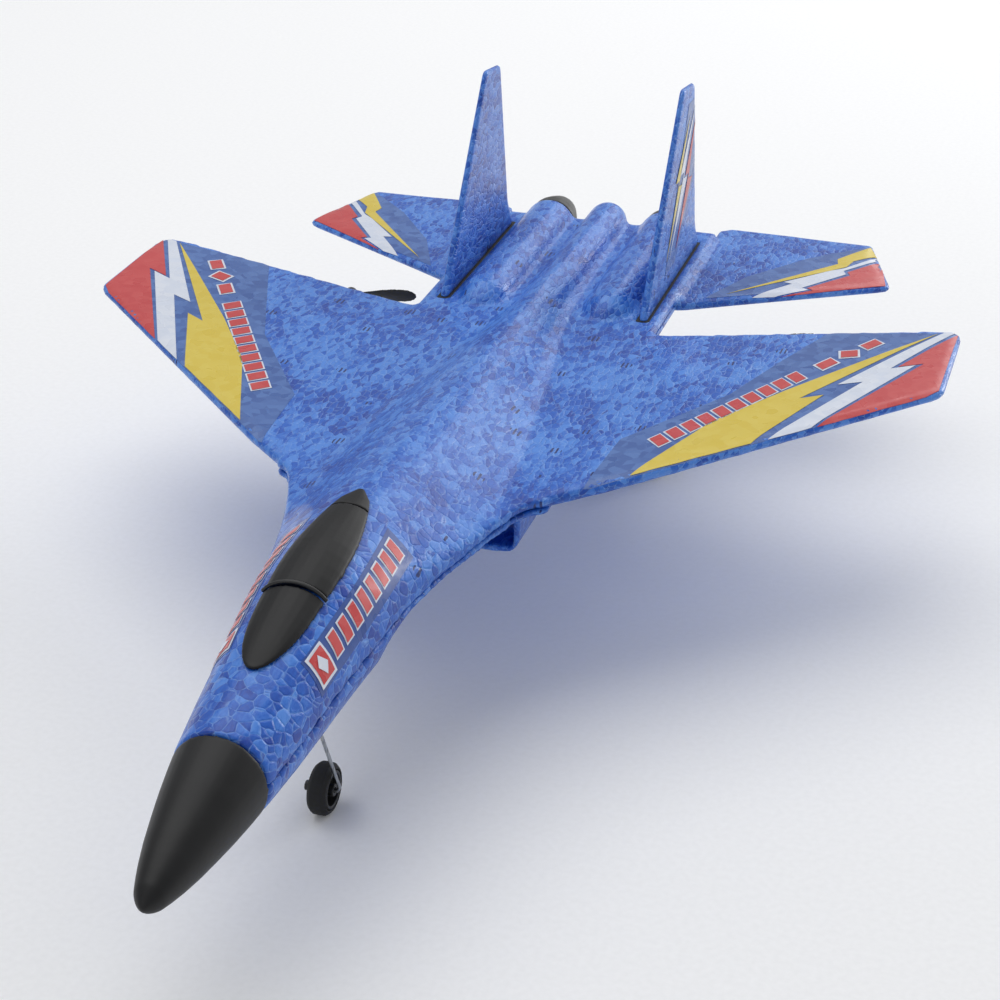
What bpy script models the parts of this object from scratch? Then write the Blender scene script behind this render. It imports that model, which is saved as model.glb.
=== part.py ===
"""Foam jet park flyer with two pusher propellers and fixed tricycle gear.

Nose towards -Y, right way up in +Z, mirror plane at X = 0, metres. The origin lies on the ground,
midway between the nose tip and the tail. Stations are distances aft of the nose tip, and waterlines
are heights above the wing reference plane, which stands WING_HEIGHT above the ground.
"""

import math

import bmesh
import bpy
import numpy as np
from mathutils import Vector

# Overall layout
LENGTH = 0.4272
HALF_SPAN = 0.1460
WING_HEIGHT = 0.0695
GAP = 0.0003
MERGE = 0.000002
RUNNING_CLEARANCE = 0.0003

# Nose cone
CONE_LENGTH = 0.0456
CONE_TIP_RADIUS = 0.0022
SPIGOT_RADIUS = 0.0070
SPIGOT_LENGTH = 0.0080

# Centre body
BODY_HALF_WIDTH = 0.0430
BODY_END = 0.4130
WING_ROOT_FRONT = 0.1858
WING_ROOT_REAR = 0.3135
PLATE_BELOW_SEAM = 0.0024
SEAM = -0.0020

# Wing panels
DIHEDRAL = math.radians(5.6)
WING_TIP_FRONT = 0.2745
WING_TIP_REAR = 0.3272
WING_ROOT_THICKNESS = 0.0052
WING_TIP_THICKNESS = 0.0032
WING_REAR_CORNER = 0.0080
WING_FRONT_CORNER = 0.0030
WING_ROOT_LEVEL = -0.0008
SPAR_RADIUS = 0.0010
SPAR_STATION = 0.2500
SPAR_REACH = 0.0150

# Tailplanes
TAIL_ROOT_FRONT = 0.3467
TAIL_ROOT_REAR = 0.4235
TAIL_TIP_FRONT = 0.3860
TAIL_TIP_X = 0.1127
TAIL_REAR_X = 0.1004
TAIL_LEVEL = -0.0030
TAIL_ROOT_THICKNESS = 0.0046
TAIL_TIP_THICKNESS = 0.0028
TAIL_CORNER = 0.0030

# Fins
FIN_X = 0.0365
FIN_THICKNESS = 0.0030
FIN_FRONT = 0.3230
FIN_REAR = 0.4034
FIN_KNEE = (0.3970, 0.0119)
FIN_TIP_FRONT = (0.3724, 0.0692)
FIN_TIP_REAR = (0.3890, 0.0668)
FIN_EDGE_RADIUS = 0.0009
FIN_TAB_LEVEL = -0.0003
FIN_SLOT_CLEARANCE = 0.0011

# Nacelles and nozzles
NACELLE_X = 0.0228
NACELLE_LEVEL = -0.0020
NACELLE_RADIUS = 0.0098
HUMP_FRONT = 0.3165
INTAKE_FRONT = 0.1858
INTAKE_INNER = 0.0140
INTAKE_OUTER = 0.0345
INTAKE_FLOOR = -0.0192
INTAKE_WALL = 0.0022
INTAKE_DEPTH = 0.0100
NOZZLE_LENGTH = 0.0128
NOZZLE_EXIT_RADIUS = 0.0066
NOZZLE_WALL = 0.0011
TAIL_BOOM_RADIUS = 0.0076
TAIL_BOOM_LEVEL = 0.0012
TAIL_BOOM_END = 0.4200

# Canopy
CANOPY_FRONT = 0.0676
CANOPY_REAR = 0.1468
CANOPY_BOW = 0.0968
CANOPY_AFT_LINE = 0.1368
CANOPY_RISE = 0.0017
CANOPY_RIM = 0.0005
BOW_WIRE_RADIUS = 0.0006

# Drives
MOTOR_X = 0.0745
MOTOR_LEVEL = -0.0058
MOTOR_RADIUS = 0.0042
MOTOR_LENGTH = 0.0200
MOTOR_REAR = 0.3195
SHAFT_RADIUS = 0.0005
MOUNT_WALL = 0.0009
MOUNT_LENGTH = 0.0170
MOUNT_FLANGE = (0.0140, 0.0230, 0.0011)
HUB_RADIUS = 0.0025
HUB_LENGTH = 0.0052
HUB_FRONT = 0.3275
BLADE_TIP = 0.0255
BLADE_CHORD = 0.0066
BLADE_THICKNESS = 0.0009
PROPELLER_REST = {"left": math.radians(-10.5), "right": math.radians(-6.0)}

# Undercarriage
WHEEL_RADIUS = 0.0078
WHEEL_WIDTH = 0.0066
TYRE_DEPTH = 0.0021
WHEEL_BOSS_RADIUS = 0.0019
WIRE_RADIUS = 0.0006
NOSE_WHEEL_STATION = 0.1126
NOSE_WHEEL_X = -0.0008
NOSE_LEG_STATION = 0.1045
NOSE_LEG_X = -0.0015
MAIN_WHEEL_STATION = 0.3480
MAIN_WHEEL_X = 0.0380
SPOKES = 5
COLLAR_RADIUS = 0.0015
COLLAR_LENGTH = 0.0018
GEAR_BLOCK = (0.0090, 0.0120, 0.0050)
BLOCK_RECESS = 0.0004

# Power bay
BOX_FRONT = 0.1270
BOX_LENGTH = 0.0460
BOX_HALF_WIDTH = 0.0105
BOX_HEIGHT = 0.0125
BOX_WALL = 0.0010
DOOR_THICKNESS = 0.0012
HINGE_PIN_RADIUS = 0.0006
BATTERY = (2 * BOX_HALF_WIDTH - 0.0045, 0.0380, 0.0085)
BOARD_STATION = 0.2060
BOARD = (0.0140, 0.0240, 0.0012)
BOARD_POCKET_DEPTH = 0.0060
SWITCH_STATION = 0.1840
SWITCH_BODY = (0.0042, 0.0086, 0.0050)
SWITCH_TRAVEL = 0.0020

GROUND = -WING_HEIGHT
BELLY_AT_BOX = -0.0226

FOAM_BLUE = (0.05, 0.16, 0.55)
BLACK = (0.012, 0.012, 0.013)
GREY = (0.16, 0.16, 0.17)
STEEL = (0.55, 0.55, 0.57)


def smooth(table, station):
    """Value at a station on a curve through (station, value) pairs, without overshoot."""
    xs = np.array([point[0] for point in table])
    ys = np.array([point[1] for point in table])
    steps = np.diff(ys) / np.diff(xs)
    slopes = np.empty(len(xs))
    slopes[0] = steps[0]
    slopes[-1] = steps[-1]
    for i in range(1, len(xs) - 1):
        product = steps[i - 1] * steps[i]
        slopes[i] = 0.0 if product <= 0 else 2 * product / (steps[i - 1] + steps[i])
    at = min(max(station, xs[0]), xs[-1])
    i = min(int(np.searchsorted(xs, at, side="right")) - 1, len(xs) - 2)
    span = xs[i + 1] - xs[i]
    t = (at - xs[i]) / span
    rise = ys[i + 1] - ys[i]
    a = slopes[i] * span - rise
    b = rise - slopes[i + 1] * span
    return float(ys[i] + t * rise + t * (1 - t) * (a * (1 - t) + b * t))


# Half width of the seam line, from the cone joint along the leading-edge extension to the wing root
HALF_WIDTH = [
    (CONE_LENGTH, 0.0133),
    (0.0656, 0.0156),
    (0.0856, 0.0173),
    (0.1030, 0.0193),
    (0.1256, 0.0216),
    (0.1500, 0.0268),
    (0.1706, 0.0330),
    (0.1830, 0.0386),
    (WING_ROOT_FRONT, BODY_HALF_WIDTH),
    (BODY_END, BODY_HALF_WIDTH),
]
SEAM_LINE = [(CONE_LENGTH, -0.0134), (0.0756, -0.0098), (0.1056, -0.0068), (0.1300, -0.0052), (0.1560, -0.0040),
             (0.1800, SEAM), (BODY_END, SEAM)]
RIDGE_LINE = [
    (CONE_LENGTH, -0.0001),
    (0.0656, 0.0045),
    (0.0756, 0.0073),
    (0.0856, 0.0098),
    (0.0956, 0.0118),
    (0.1056, 0.0136),
    (0.1200, 0.0154),
    (0.1460, 0.0165),
    (0.1800, 0.0154),
    (0.2200, 0.0134),
    (0.3300, 0.0098),
    (BODY_END, 0.0088),
]
BELLY_LINE = [
    (CONE_LENGTH, -0.0267),
    (0.0756, -0.0262),
    (0.1056, -0.0237),
    (0.1250, -0.0226),
    (0.2000, -0.0222),
    (0.2600, -0.0180),
    (0.3300, -0.0100),
    (BODY_END, -0.0060),
]
# Height of the edge above the seam, and the half width over which the ridge and the keel fade out
EDGE_LINE = [(CONE_LENGTH, 0.0004), (0.1030, 0.0006), (0.1400, 0.0024), (0.1870, 0.0034), (BODY_END, 0.0034)]
KEEL_EDGE_LINE = [(CONE_LENGTH, 0.0004), (0.1030, 0.0006), (0.1400, 0.0018), (0.1870, PLATE_BELOW_SEAM),
                  (BODY_END, PLATE_BELOW_SEAM)]
RIDGE_REACH = [(CONE_LENGTH, 0.0300), (0.1100, 0.0300), (0.1870, 0.0330), (0.2600, 0.0230), (0.3300, 0.0115),
               (BODY_END, 0.0095)]
KEEL_REACH = [(CONE_LENGTH, 0.0300), (0.1080, 0.0190), (0.1300, 0.0162), (0.1700, 0.0156), (0.1815, 0.0132),
              (BODY_END, 0.0122)]
ROUNDNESS = [(CONE_LENGTH, 1.0), (0.1000, 1.0), (0.1400, 0.35), (0.1870, 0.0), (BODY_END, 0.0)]
KEEL_ROUNDNESS = [(CONE_LENGTH, 1.0), (0.1060, 1.0), (0.1280, 0.25), (0.1450, 0.0), (BODY_END, 0.0)]
KEEL_SQUARENESS = 7.0


def y_at(station):
    """Model Y of a station."""
    return station - LENGTH / 2


def z_at(waterline):
    """Model Z of a waterline."""
    return waterline + WING_HEIGHT


def bell(u):
    """1 at the centreline, fading to 0 at u = 1 with no slope at either end."""
    return (1 + math.cos(math.pi * min(abs(u), 1.0))) / 2


def round_part(x, half_width):
    """Height of a half round over a unit radius."""
    return math.sqrt(max(0.0, 1 - min(abs(x) / half_width, 1.0) ** 2))


def top_at(x, station):
    """Waterline of the centre body's upper surface: round at the nose, a ridged plate further aft."""
    seam = smooth(SEAM_LINE, station)
    edge = smooth(EDGE_LINE, station)
    height = smooth(RIDGE_LINE, station) - seam
    roundness = smooth(ROUNDNESS, station)
    ridge = bell(x / smooth(RIDGE_REACH, station))
    shape = roundness * round_part(x, smooth(HALF_WIDTH, station)) + (1 - roundness) * ridge
    return seam + edge + (height - edge) * shape


def keel_reach(station):
    """Half width of the keel."""
    return min(smooth(KEEL_REACH, station), 0.97 * smooth(HALF_WIDTH, station))


def belly_at(x, station):
    """Waterline of the centre body's lower surface: round at the nose, a plate with a square keel further aft."""
    seam = smooth(SEAM_LINE, station)
    edge = smooth(KEEL_EDGE_LINE, station)
    depth = seam - smooth(BELLY_LINE, station)
    roundness = smooth(KEEL_ROUNDNESS, station)
    u = min(abs(x) / keel_reach(station), 1.0)
    keel = math.sqrt(max(0.0, 1 - u**KEEL_SQUARENESS))
    shape = roundness * round_part(x, smooth(HALF_WIDTH, station)) + (1 - roundness) * keel
    return seam - edge - (depth - edge) * shape


def clear_scene():
    for obj in list(bpy.data.objects):
        bpy.data.objects.remove(obj, do_unlink=True)


def material(name, colour, roughness, metallic=0.0):
    """A Principled material, made once for each name."""
    made = bpy.data.materials.get(name)
    if made is None:
        made = bpy.data.materials.new(name)
        made.use_nodes = True
        shader = made.node_tree.nodes["Principled BSDF"]
        shader.inputs["Base Color"].default_value = (*colour, 1.0)
        shader.inputs["Roughness"].default_value = roughness
        shader.inputs["Metallic"].default_value = metallic
    return made


def foam():
    return material("epp_foam", FOAM_BLUE, 0.45)


def black_plastic():
    return material("black_plastic", BLACK, 0.35)


def add_object(name, bm, made_of, smooth_angle=math.radians(40)):
    """An object from a bmesh, in triangles so that every face is flat, with its normals outward."""
    bmesh.ops.recalc_face_normals(bm, faces=bm.faces)
    bmesh.ops.triangulate(bm, faces=bm.faces)
    mesh = bpy.data.meshes.new(name)
    bm.to_mesh(mesh)
    bm.free()
    mesh.shade_smooth()
    mesh.set_sharp_from_angle(angle=smooth_angle)
    mesh.materials.append(made_of)
    obj = bpy.data.objects.new(name, mesh)
    bpy.context.scene.collection.objects.link(obj)
    return obj


def loft(name, rings, made_of):
    """A closed solid through rings of equal count, with both ends filled."""
    bm = bmesh.new()
    loops = [[bm.verts.new(point) for point in ring] for ring in rings]
    count = len(rings[0])
    for first, second in zip(loops[:-1], loops[1:]):
        for i in range(count):
            j = (i + 1) % count
            bm.faces.new((first[i], first[j], second[j], second[i]))
    bm.faces.new(loops[0])
    bm.faces.new(list(reversed(loops[-1])))
    return add_object(name, bm, made_of)


def turned(name, profile, axis_point, direction, made_of, segments=32):
    """A solid turned about an axis, from (distance along, radius) pairs that form an open or closed outline."""
    axis = Vector(direction).normalized()
    side = axis.orthogonal().normalized()
    other = axis.cross(side)
    bm = bmesh.new()
    rings = []
    for along, radius in profile:
        centre = Vector(axis_point) + axis * along
        if radius < 1e-7:
            rings.append([bm.verts.new(centre)])
            continue
        turn = [2 * math.pi * k / segments for k in range(segments)]
        rings.append([bm.verts.new(centre + (side * math.cos(a) + other * math.sin(a)) * radius) for a in turn])
    pairs = list(zip(rings[:-1], rings[1:]))
    if len(rings[0]) > 1 and len(rings[-1]) > 1:
        pairs.append((rings[-1], rings[0]))
    for first, second in pairs:
        for k in range(segments):
            n = (k + 1) % segments
            if len(first) == 1:
                bm.faces.new((first[0], second[k], second[n]))
            elif len(second) == 1:
                bm.faces.new((first[k], second[0], first[n]))
            else:
                bm.faces.new((first[k], second[k], second[n], first[n]))
    return add_object(name, bm, made_of)


def cylinder(name, start, end, radius, made_of, segments=24):
    """A solid round bar from start to end."""
    along = Vector(end) - Vector(start)
    length = along.length
    return turned(name, [(0, 0), (0, radius), (length, radius), (length, 0)], start, along, made_of,
                  segments)


def block(name, low, high, made_of, bevel=0.0):
    """A box between two corners, its edges rounded if asked."""
    bm = bmesh.new()
    bmesh.ops.create_cube(bm, size=1.0)
    size = Vector(high) - Vector(low)
    middle = (Vector(high) + Vector(low)) / 2
    for vert in bm.verts:
        vert.co = Vector((vert.co.x * size.x, vert.co.y * size.y, vert.co.z * size.z)) + middle
    if bevel:
        bmesh.ops.bevel(bm, geom=list(bm.edges), offset=bevel, segments=2, profile=0.5, affect="EDGES")
    return add_object(name, bm, made_of)


def combine(target, other, operation):
    """Applies a Boolean of target with other, which is then removed."""
    modifier = target.modifiers.new(operation.lower(), "BOOLEAN")
    modifier.operation = operation
    modifier.solver = "EXACT"
    modifier.object = other
    bpy.context.view_layer.update()
    graph = bpy.context.evaluated_depsgraph_get()
    made = bpy.data.meshes.new_from_object(target.evaluated_get(graph))
    target.modifiers.clear()
    bm = bmesh.new()
    bm.from_mesh(made)
    bmesh.ops.remove_doubles(bm, verts=bm.verts, dist=MERGE)
    bmesh.ops.dissolve_degenerate(bm, edges=bm.edges, dist=MERGE)
    bmesh.ops.triangulate(bm, faces=bm.faces)
    bm.to_mesh(made)
    bm.free()
    old = target.data
    target.data = made
    bpy.data.meshes.remove(old)
    bpy.data.objects.remove(other, do_unlink=True)
    return target


def cut(target, other):
    return combine(target, other, "DIFFERENCE")


def join(target, other):
    return combine(target, other, "UNION")


def body_stations():
    """Stations of the body's sections, closer where the outline bends."""
    front = np.linspace(CONE_LENGTH + GAP, 0.1780, 17)
    middle = np.array([0.1835, WING_ROOT_FRONT - 0.0015, WING_ROOT_FRONT, 0.200])
    rear = np.linspace(0.220, BODY_END, 10)
    return [float(s) for s in [*front, *middle, *rear]]


def across(half_width, reach, inner, outer):
    """x positions across a section: close together over the ridge or keel, wider apart outboard of it."""
    centre = [reach * math.sin(a) for a in np.linspace(-math.pi / 2, math.pi / 2, inner)]
    side = [reach + (half_width - reach) * math.sin(math.pi / 2 * k / outer) for k in range(1, outer + 1)]
    return [-x for x in reversed(side)] + centre + side


def capsule(name, x, level, radius, front, end, dome, made_of):
    """A bar along the body with a rounded front, and a rounded rear end if dome is set."""
    arc = [math.pi / 2 * k / 5 for k in range(6)]
    profile = [(radius * 1.6 * (1 - math.cos(a)), radius * math.sin(a)) for a in arc]
    length = end - front
    if dome:
        profile += [(length - radius * (1 - math.sin(a)), radius * math.cos(a)) for a in arc]
    else:
        profile += [(length, radius), (length, 0)]
    return turned(name, profile, (x, y_at(front), z_at(level)), (0, 1, 0), made_of, 24)


def make_upper_body():
    """Upper moulding: fuselage top, leading-edge extensions, rear deck, engine humps and tail boom."""
    rings = []
    for station in body_stations():
        half = smooth(HALF_WIDTH, station)
        floor = smooth(SEAM_LINE, station) + GAP / 2
        xs = across(half, min(smooth(RIDGE_REACH, station), 0.97 * half), 13, 4)
        ring = [Vector((x, y_at(station), z_at(top_at(x, station)))) for x in xs]
        ring += [Vector((xs[-1], y_at(station), z_at(floor))), Vector((xs[0], y_at(station), z_at(floor)))]
        rings.append(ring)
    body = loft("upper_body", rings, foam())
    bars = [capsule("hump", x, NACELLE_LEVEL, NACELLE_RADIUS, HUMP_FRONT, BODY_END, False, foam())
            for x in (-NACELLE_X, NACELLE_X)]
    bars.append(capsule("boom", 0, TAIL_BOOM_LEVEL, TAIL_BOOM_RADIUS, 0.300, TAIL_BOOM_END, True, foam()))
    for bar in bars:
        cut(bar, block("under", (-0.06, y_at(0.260), z_at(-0.040)),
                       (0.06, y_at(LENGTH), z_at(SEAM + 2 * GAP)), foam()))
        join(body, bar)
    for x in (-FIN_X, FIN_X):
        half = FIN_THICKNESS / 2 + FIN_SLOT_CLEARANCE
        slot = block(
            "slot",
            (x - half, y_at(FIN_FRONT - FIN_SLOT_CLEARANCE), z_at(FIN_TAB_LEVEL - GAP)),
            (x + half, y_at(FIN_REAR + FIN_SLOT_CLEARANCE), z_at(0.030)),
            foam(),
        )
        cut(body, slot)
    cut(body, spigot_hole())
    cut(body, spar_hole())
    return body


def spigot_hole():
    """The bore that takes the nose cone's spigot."""
    level = smooth(SEAM_LINE, CONE_LENGTH)
    start = Vector((0, y_at(CONE_LENGTH - 0.002), z_at(level)))
    end = Vector((0, y_at(CONE_LENGTH + SPIGOT_LENGTH + 2 * GAP), z_at(level)))
    return cylinder("hole", start, end, SPIGOT_RADIUS + GAP, foam())


def spar_level():
    """Waterline of the wing spar: it runs straight across, just above the seam."""
    return SEAM + GAP + SPAR_RADIUS + GAP


def spar_hole():
    """The hole for the wing spar, through body and wing roots."""
    reach = BODY_HALF_WIDTH + SPAR_REACH + GAP
    y = y_at(SPAR_STATION)
    z = z_at(spar_level())
    return cylinder("hole", (-reach, y, z), (reach, y, z), SPAR_RADIUS + GAP, foam(), 16)


def make_lower_body():
    """Lower moulding: fuselage belly, keel and the underside of the deck."""
    rings = []
    for station in body_stations():
        half = smooth(HALF_WIDTH, station)
        roof = smooth(SEAM_LINE, station) - GAP / 2
        xs = across(half, keel_reach(station), 13, 3)
        ring = [Vector((x, y_at(station), z_at(belly_at(x, station)))) for x in xs]
        ring += [Vector((xs[-1], y_at(station), z_at(roof))), Vector((xs[0], y_at(station), z_at(roof)))]
        rings.append(ring)
    body = loft("lower_body", rings, foam())
    cut(body, spigot_hole())
    half = BOX_HALF_WIDTH + GAP
    top = BELLY_AT_BOX + BOX_HEIGHT + GAP
    cut(body, block("bay", (-half, y_at(BOX_FRONT - GAP), z_at(-0.040)),
                    (half, y_at(BOX_FRONT + BOX_LENGTH + GAP), z_at(top)), foam()))
    wide, long, deep = GEAR_BLOCK
    cut(body, block("pocket", (-wide / 2 - GAP, y_at(NOSE_LEG_STATION) - long / 2 - GAP, z_at(-0.040)),
                    (wide / 2 + GAP, y_at(NOSE_LEG_STATION) + long / 2 + GAP,
                     z_at(smooth(BELLY_LINE, NOSE_LEG_STATION) + BLOCK_RECESS + deep + GAP)), foam()))
    wide, long, _ = BOARD
    cut(body, block("pocket", (-wide / 2 - 0.001, y_at(BOARD_STATION) - long / 2 - 0.001,
                               z_at(SEAM - BOARD_POCKET_DEPTH)),
                    (wide / 2 + 0.001, y_at(BOARD_STATION) + long / 2 + 0.001, z_at(0.010)), foam()))
    wide, long, deep = SWITCH_BODY
    cut(body, block("pocket", (-wide / 2 - GAP, y_at(SWITCH_STATION) - long / 2 - GAP, z_at(-0.040)),
                    (wide / 2 + GAP, y_at(SWITCH_STATION) + long / 2 + GAP,
                     z_at(smooth(BELLY_LINE, SWITCH_STATION) + deep + 0.0008 + GAP)), foam()))
    return body


def make_nose_cone():
    """Black nose cone: a drooped ogive with a spigot that plugs into the fuselage."""
    radius = [(0.0, CONE_TIP_RADIUS), (0.004, 0.0041), (0.0156, 0.0077), (0.0256, 0.0099), (0.0356, 0.0118),
              (CONE_LENGTH, 0.0133)]
    level = [(0.0, -0.0200), (0.0156, -0.0178), (CONE_LENGTH, -0.0134)]
    count = 32
    turn = [2 * math.pi * k / count for k in range(count)]
    rings = []
    for station in (0.0, 0.0006, 0.002, 0.004, 0.008, 0.0120, 0.0180, 0.0250, 0.0320, 0.0390, CONE_LENGTH):
        r = smooth(radius, station)
        if station < 0.004:
            r *= math.sqrt(max(0.03, 1 - (1 - station / 0.004) ** 2))
        z = z_at(smooth(level, station))
        rings.append([Vector((r * math.cos(a), y_at(station), z + r * math.sin(a))) for a in turn])
    cone = loft("nose_cone", rings, black_plastic())
    z = z_at(smooth(SEAM_LINE, CONE_LENGTH))
    spigot = cylinder("spigot", (0, y_at(CONE_LENGTH - 0.004), z),
                      (0, y_at(CONE_LENGTH + SPIGOT_LENGTH), z), SPIGOT_RADIUS, black_plastic())
    return join(cone, spigot)


def canopy_half_width(station):
    """Half width of the canopy: a pointed oval."""
    table = [(CANOPY_FRONT, 0.0010), (0.0685, 0.0023), (0.0705, 0.0038), (0.0727, 0.0049), (0.0756, 0.0060),
             (0.0786, 0.0068), (0.0834, 0.0077), (0.0900, 0.0084), (CANOPY_BOW, 0.0088), (0.1090, 0.0094),
             (0.1186, 0.0090), (0.1316, 0.0071), (0.1416, 0.0045), (0.1455, 0.0027), (CANOPY_REAR, 0.0010)]
    return smooth(table, station)


def canopy_at(x, station):
    """Waterline of the canopy's outer surface, before its panel gaps."""
    half = canopy_half_width(station)
    along = (station - CANOPY_FRONT) / (CANOPY_REAR - CANOPY_FRONT)
    rise = CANOPY_RISE * math.sin(math.pi * min(max(along, 0.02), 0.98)) ** 0.6
    crown = math.sqrt(max(0.0, 1 - (x / half) ** 2))
    return top_at(x, station) + GAP + CANOPY_RIM + rise * crown


def make_canopy_panel(name, start, end):
    """One black panel of the canopy, lying on the fuselage, with closer rings at the round front."""
    front = start == CANOPY_FRONT
    count = 11 if front else max(3, int((end - start) / 0.0045) + 1)
    rings = []
    for share in np.linspace(0, 1, count):
        station = start + (end - start) * float(share) ** (1.8 if front else 1.0)
        half = canopy_half_width(station)
        xs = [half * math.sin(a) for a in np.linspace(-math.pi / 2, math.pi / 2, 11)]
        y = y_at(station)
        ring = [Vector((x, y, z_at(canopy_at(x, station)))) for x in xs]
        ring += [Vector((x, y, z_at(top_at(x, station) + GAP))) for x in reversed(xs)]
        rings.append(ring)
    return loft(name, rings, black_plastic())


def make_bow():
    """The hoop between the windscreen and the canopy."""
    station = CANOPY_BOW
    half = canopy_half_width(station) + 0.0004
    count = 18
    centres = []
    for a in np.linspace(-math.pi / 2, math.pi / 2, count):
        x = half * math.sin(a)
        inside = min(max(x, -half + 0.0004), half - 0.0004)
        level = canopy_at(inside * 0.995, station) - 0.0002 + BOW_WIRE_RADIUS * math.cos(a)
        centres.append(Vector((x, y_at(station), z_at(level))))
    rings = []
    for i, centre in enumerate(centres):
        ahead = centres[min(i + 1, count - 1)] - centres[max(i - 1, 0)]
        out = Vector((ahead.z, 0, -ahead.x)).normalized()
        side = Vector((0, 1, 0))
        turn = [2 * math.pi * k / 8 for k in range(8)]
        rings.append([centre + (out * math.cos(a) + side * math.sin(a)) * BOW_WIRE_RADIUS for a in turn])
    return loft("canopy_bow", rings, black_plastic())


def aerofoil(front, rear, thickness, level, x, steps=9):
    """A closed section at constant x: round leading edge, flat middle and a thinned trailing edge."""
    chord = rear - front
    upper = []
    for a in np.linspace(0, math.pi, steps):
        share = (1 - math.cos(a)) / 2
        nose = math.sqrt(max(0.0, 1 - (1 - min(share * chord / (0.9 * thickness), 1.0)) ** 2))
        tail = min(1.0, 0.50 + 0.50 * (1 - share) / 0.30)
        upper.append((front + share * chord, max(nose, 0.10) * tail * thickness / 2))
    points = [Vector((x, y_at(s), z_at(level + h))) for s, h in upper]
    points += [Vector((x, y_at(s), z_at(level - h))) for s, h in reversed(upper)]
    return points


def corner(distance, radius):
    """How far a rounded corner has drawn an edge back at a distance from the tip."""
    if distance >= radius:
        return 0.0
    return radius - math.sqrt(max(0.0, radius * radius - (radius - distance) ** 2))


def wing_edges(x):
    """Leading and trailing edge stations of the wing at x, with its rounded tip corners."""
    root = BODY_HALF_WIDTH + GAP
    share = (x - root) / (HALF_SPAN - root)
    front = WING_ROOT_FRONT + (WING_TIP_FRONT - WING_ROOT_FRONT) * share
    rear = WING_ROOT_REAR + (WING_TIP_REAR - WING_ROOT_REAR) * share
    left = HALF_SPAN - x
    return front + corner(left, WING_FRONT_CORNER), rear - corner(left, WING_REAR_CORNER)


def wing_level(x):
    """Waterline of the wing's middle surface."""
    return WING_ROOT_LEVEL + (x - BODY_HALF_WIDTH) * math.tan(DIHEDRAL)


def wing_thickness(x):
    root = BODY_HALF_WIDTH
    share = (x - root) / (HALF_SPAN - root)
    left = HALF_SPAN - x
    full = WING_ROOT_THICKNESS + (WING_TIP_THICKNESS - WING_ROOT_THICKNESS) * share
    edge = WING_TIP_THICKNESS / 2
    return full * (1.0 if left >= edge else math.sqrt(max(0.08, 1 - (1 - left / edge) ** 2)))


def make_wing(side, sign):
    """A swept wing panel, butted to the body and joined by the spar."""
    root = BODY_HALF_WIDTH + GAP
    xs = [*np.linspace(root, HALF_SPAN - WING_REAR_CORNER, 8)]
    xs += [HALF_SPAN - WING_REAR_CORNER * k for k in (0.75, 0.5, 0.3, 0.18, 0.08, 0.02, 0.0)]
    rings = []
    for x in xs:
        front, rear = wing_edges(float(x))
        rings.append(aerofoil(front, rear, wing_thickness(x), wing_level(x), float(x) * sign, 15))
    wing = loft(f"{side}_wing", rings, foam())
    return cut(wing, spar_hole())


def tail_edges(x):
    """Leading and trailing edge stations of the tailplane at x; its tip is raked."""
    root = BODY_HALF_WIDTH + GAP
    share = (x - root) / (TAIL_TIP_X - root)
    front = TAIL_ROOT_FRONT + (TAIL_TIP_FRONT - TAIL_ROOT_FRONT) * share
    if x > TAIL_REAR_X:
        rake = (x - TAIL_REAR_X) / (TAIL_TIP_X - TAIL_REAR_X)
        rear = LENGTH + (TAIL_TIP_FRONT + TAIL_CORNER - LENGTH) * rake
    else:
        inner = BODY_HALF_WIDTH + 0.0025
        rear = LENGTH if x > inner else TAIL_ROOT_REAR + (LENGTH - TAIL_ROOT_REAR) * (x - root) / (inner - root)
    return front + 0.4 * corner(TAIL_TIP_X - x, TAIL_CORNER), rear


def make_tailplane(side, sign):
    """A tailplane butted to the body's side, with a raked tip."""
    root = BODY_HALF_WIDTH + GAP
    inner = BODY_HALF_WIDTH + 0.0025
    xs = [root, inner, *np.linspace(inner + 0.008, TAIL_REAR_X, 5)]
    xs += [*np.linspace(TAIL_REAR_X + 0.003, TAIL_TIP_X - 0.0012, 4), TAIL_TIP_X - 0.0004, TAIL_TIP_X]
    rings = []
    for x in xs:
        front, rear = tail_edges(float(x))
        share = (x - root) / (TAIL_TIP_X - root)
        thickness = TAIL_ROOT_THICKNESS + (TAIL_TIP_THICKNESS - TAIL_ROOT_THICKNESS) * share
        thickness *= min(1.0, 0.35 + 0.65 * math.sqrt(max(0.0, (TAIL_TIP_X - x) / 0.0014)))
        rings.append(aerofoil(front, rear, thickness, TAIL_LEVEL, float(x) * sign, 13))
    return loft(f"{side}_tailplane", rings, foam())


def rounded_outline(points, radii, steps=4):
    """A polygon in the (station, waterline) plane with each corner rounded by an arc."""
    made = []
    count = len(points)
    for i, (point, radius) in enumerate(zip(points, radii)):
        here = Vector(point)
        before = (Vector(points[i - 1]) - here).normalized()
        after = (Vector(points[(i + 1) % count]) - here).normalized()
        half = math.acos(max(-1.0, min(1.0, before.dot(after)))) / 2
        if radius <= 0:
            made.append(here)
            continue
        back = radius / math.tan(half)
        centre = here + (before + after).normalized() * (radius / math.sin(half))
        start = here + before * back - centre
        end = here + after * back - centre
        turn = start.angle_signed(end)
        for k in range(steps + 1):
            a = -turn * k / steps
            c = math.cos(a)
            s = math.sin(a)
            made.append(centre + Vector((start.x * c - start.y * s, start.x * s + start.y * c)))
    return made


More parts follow.
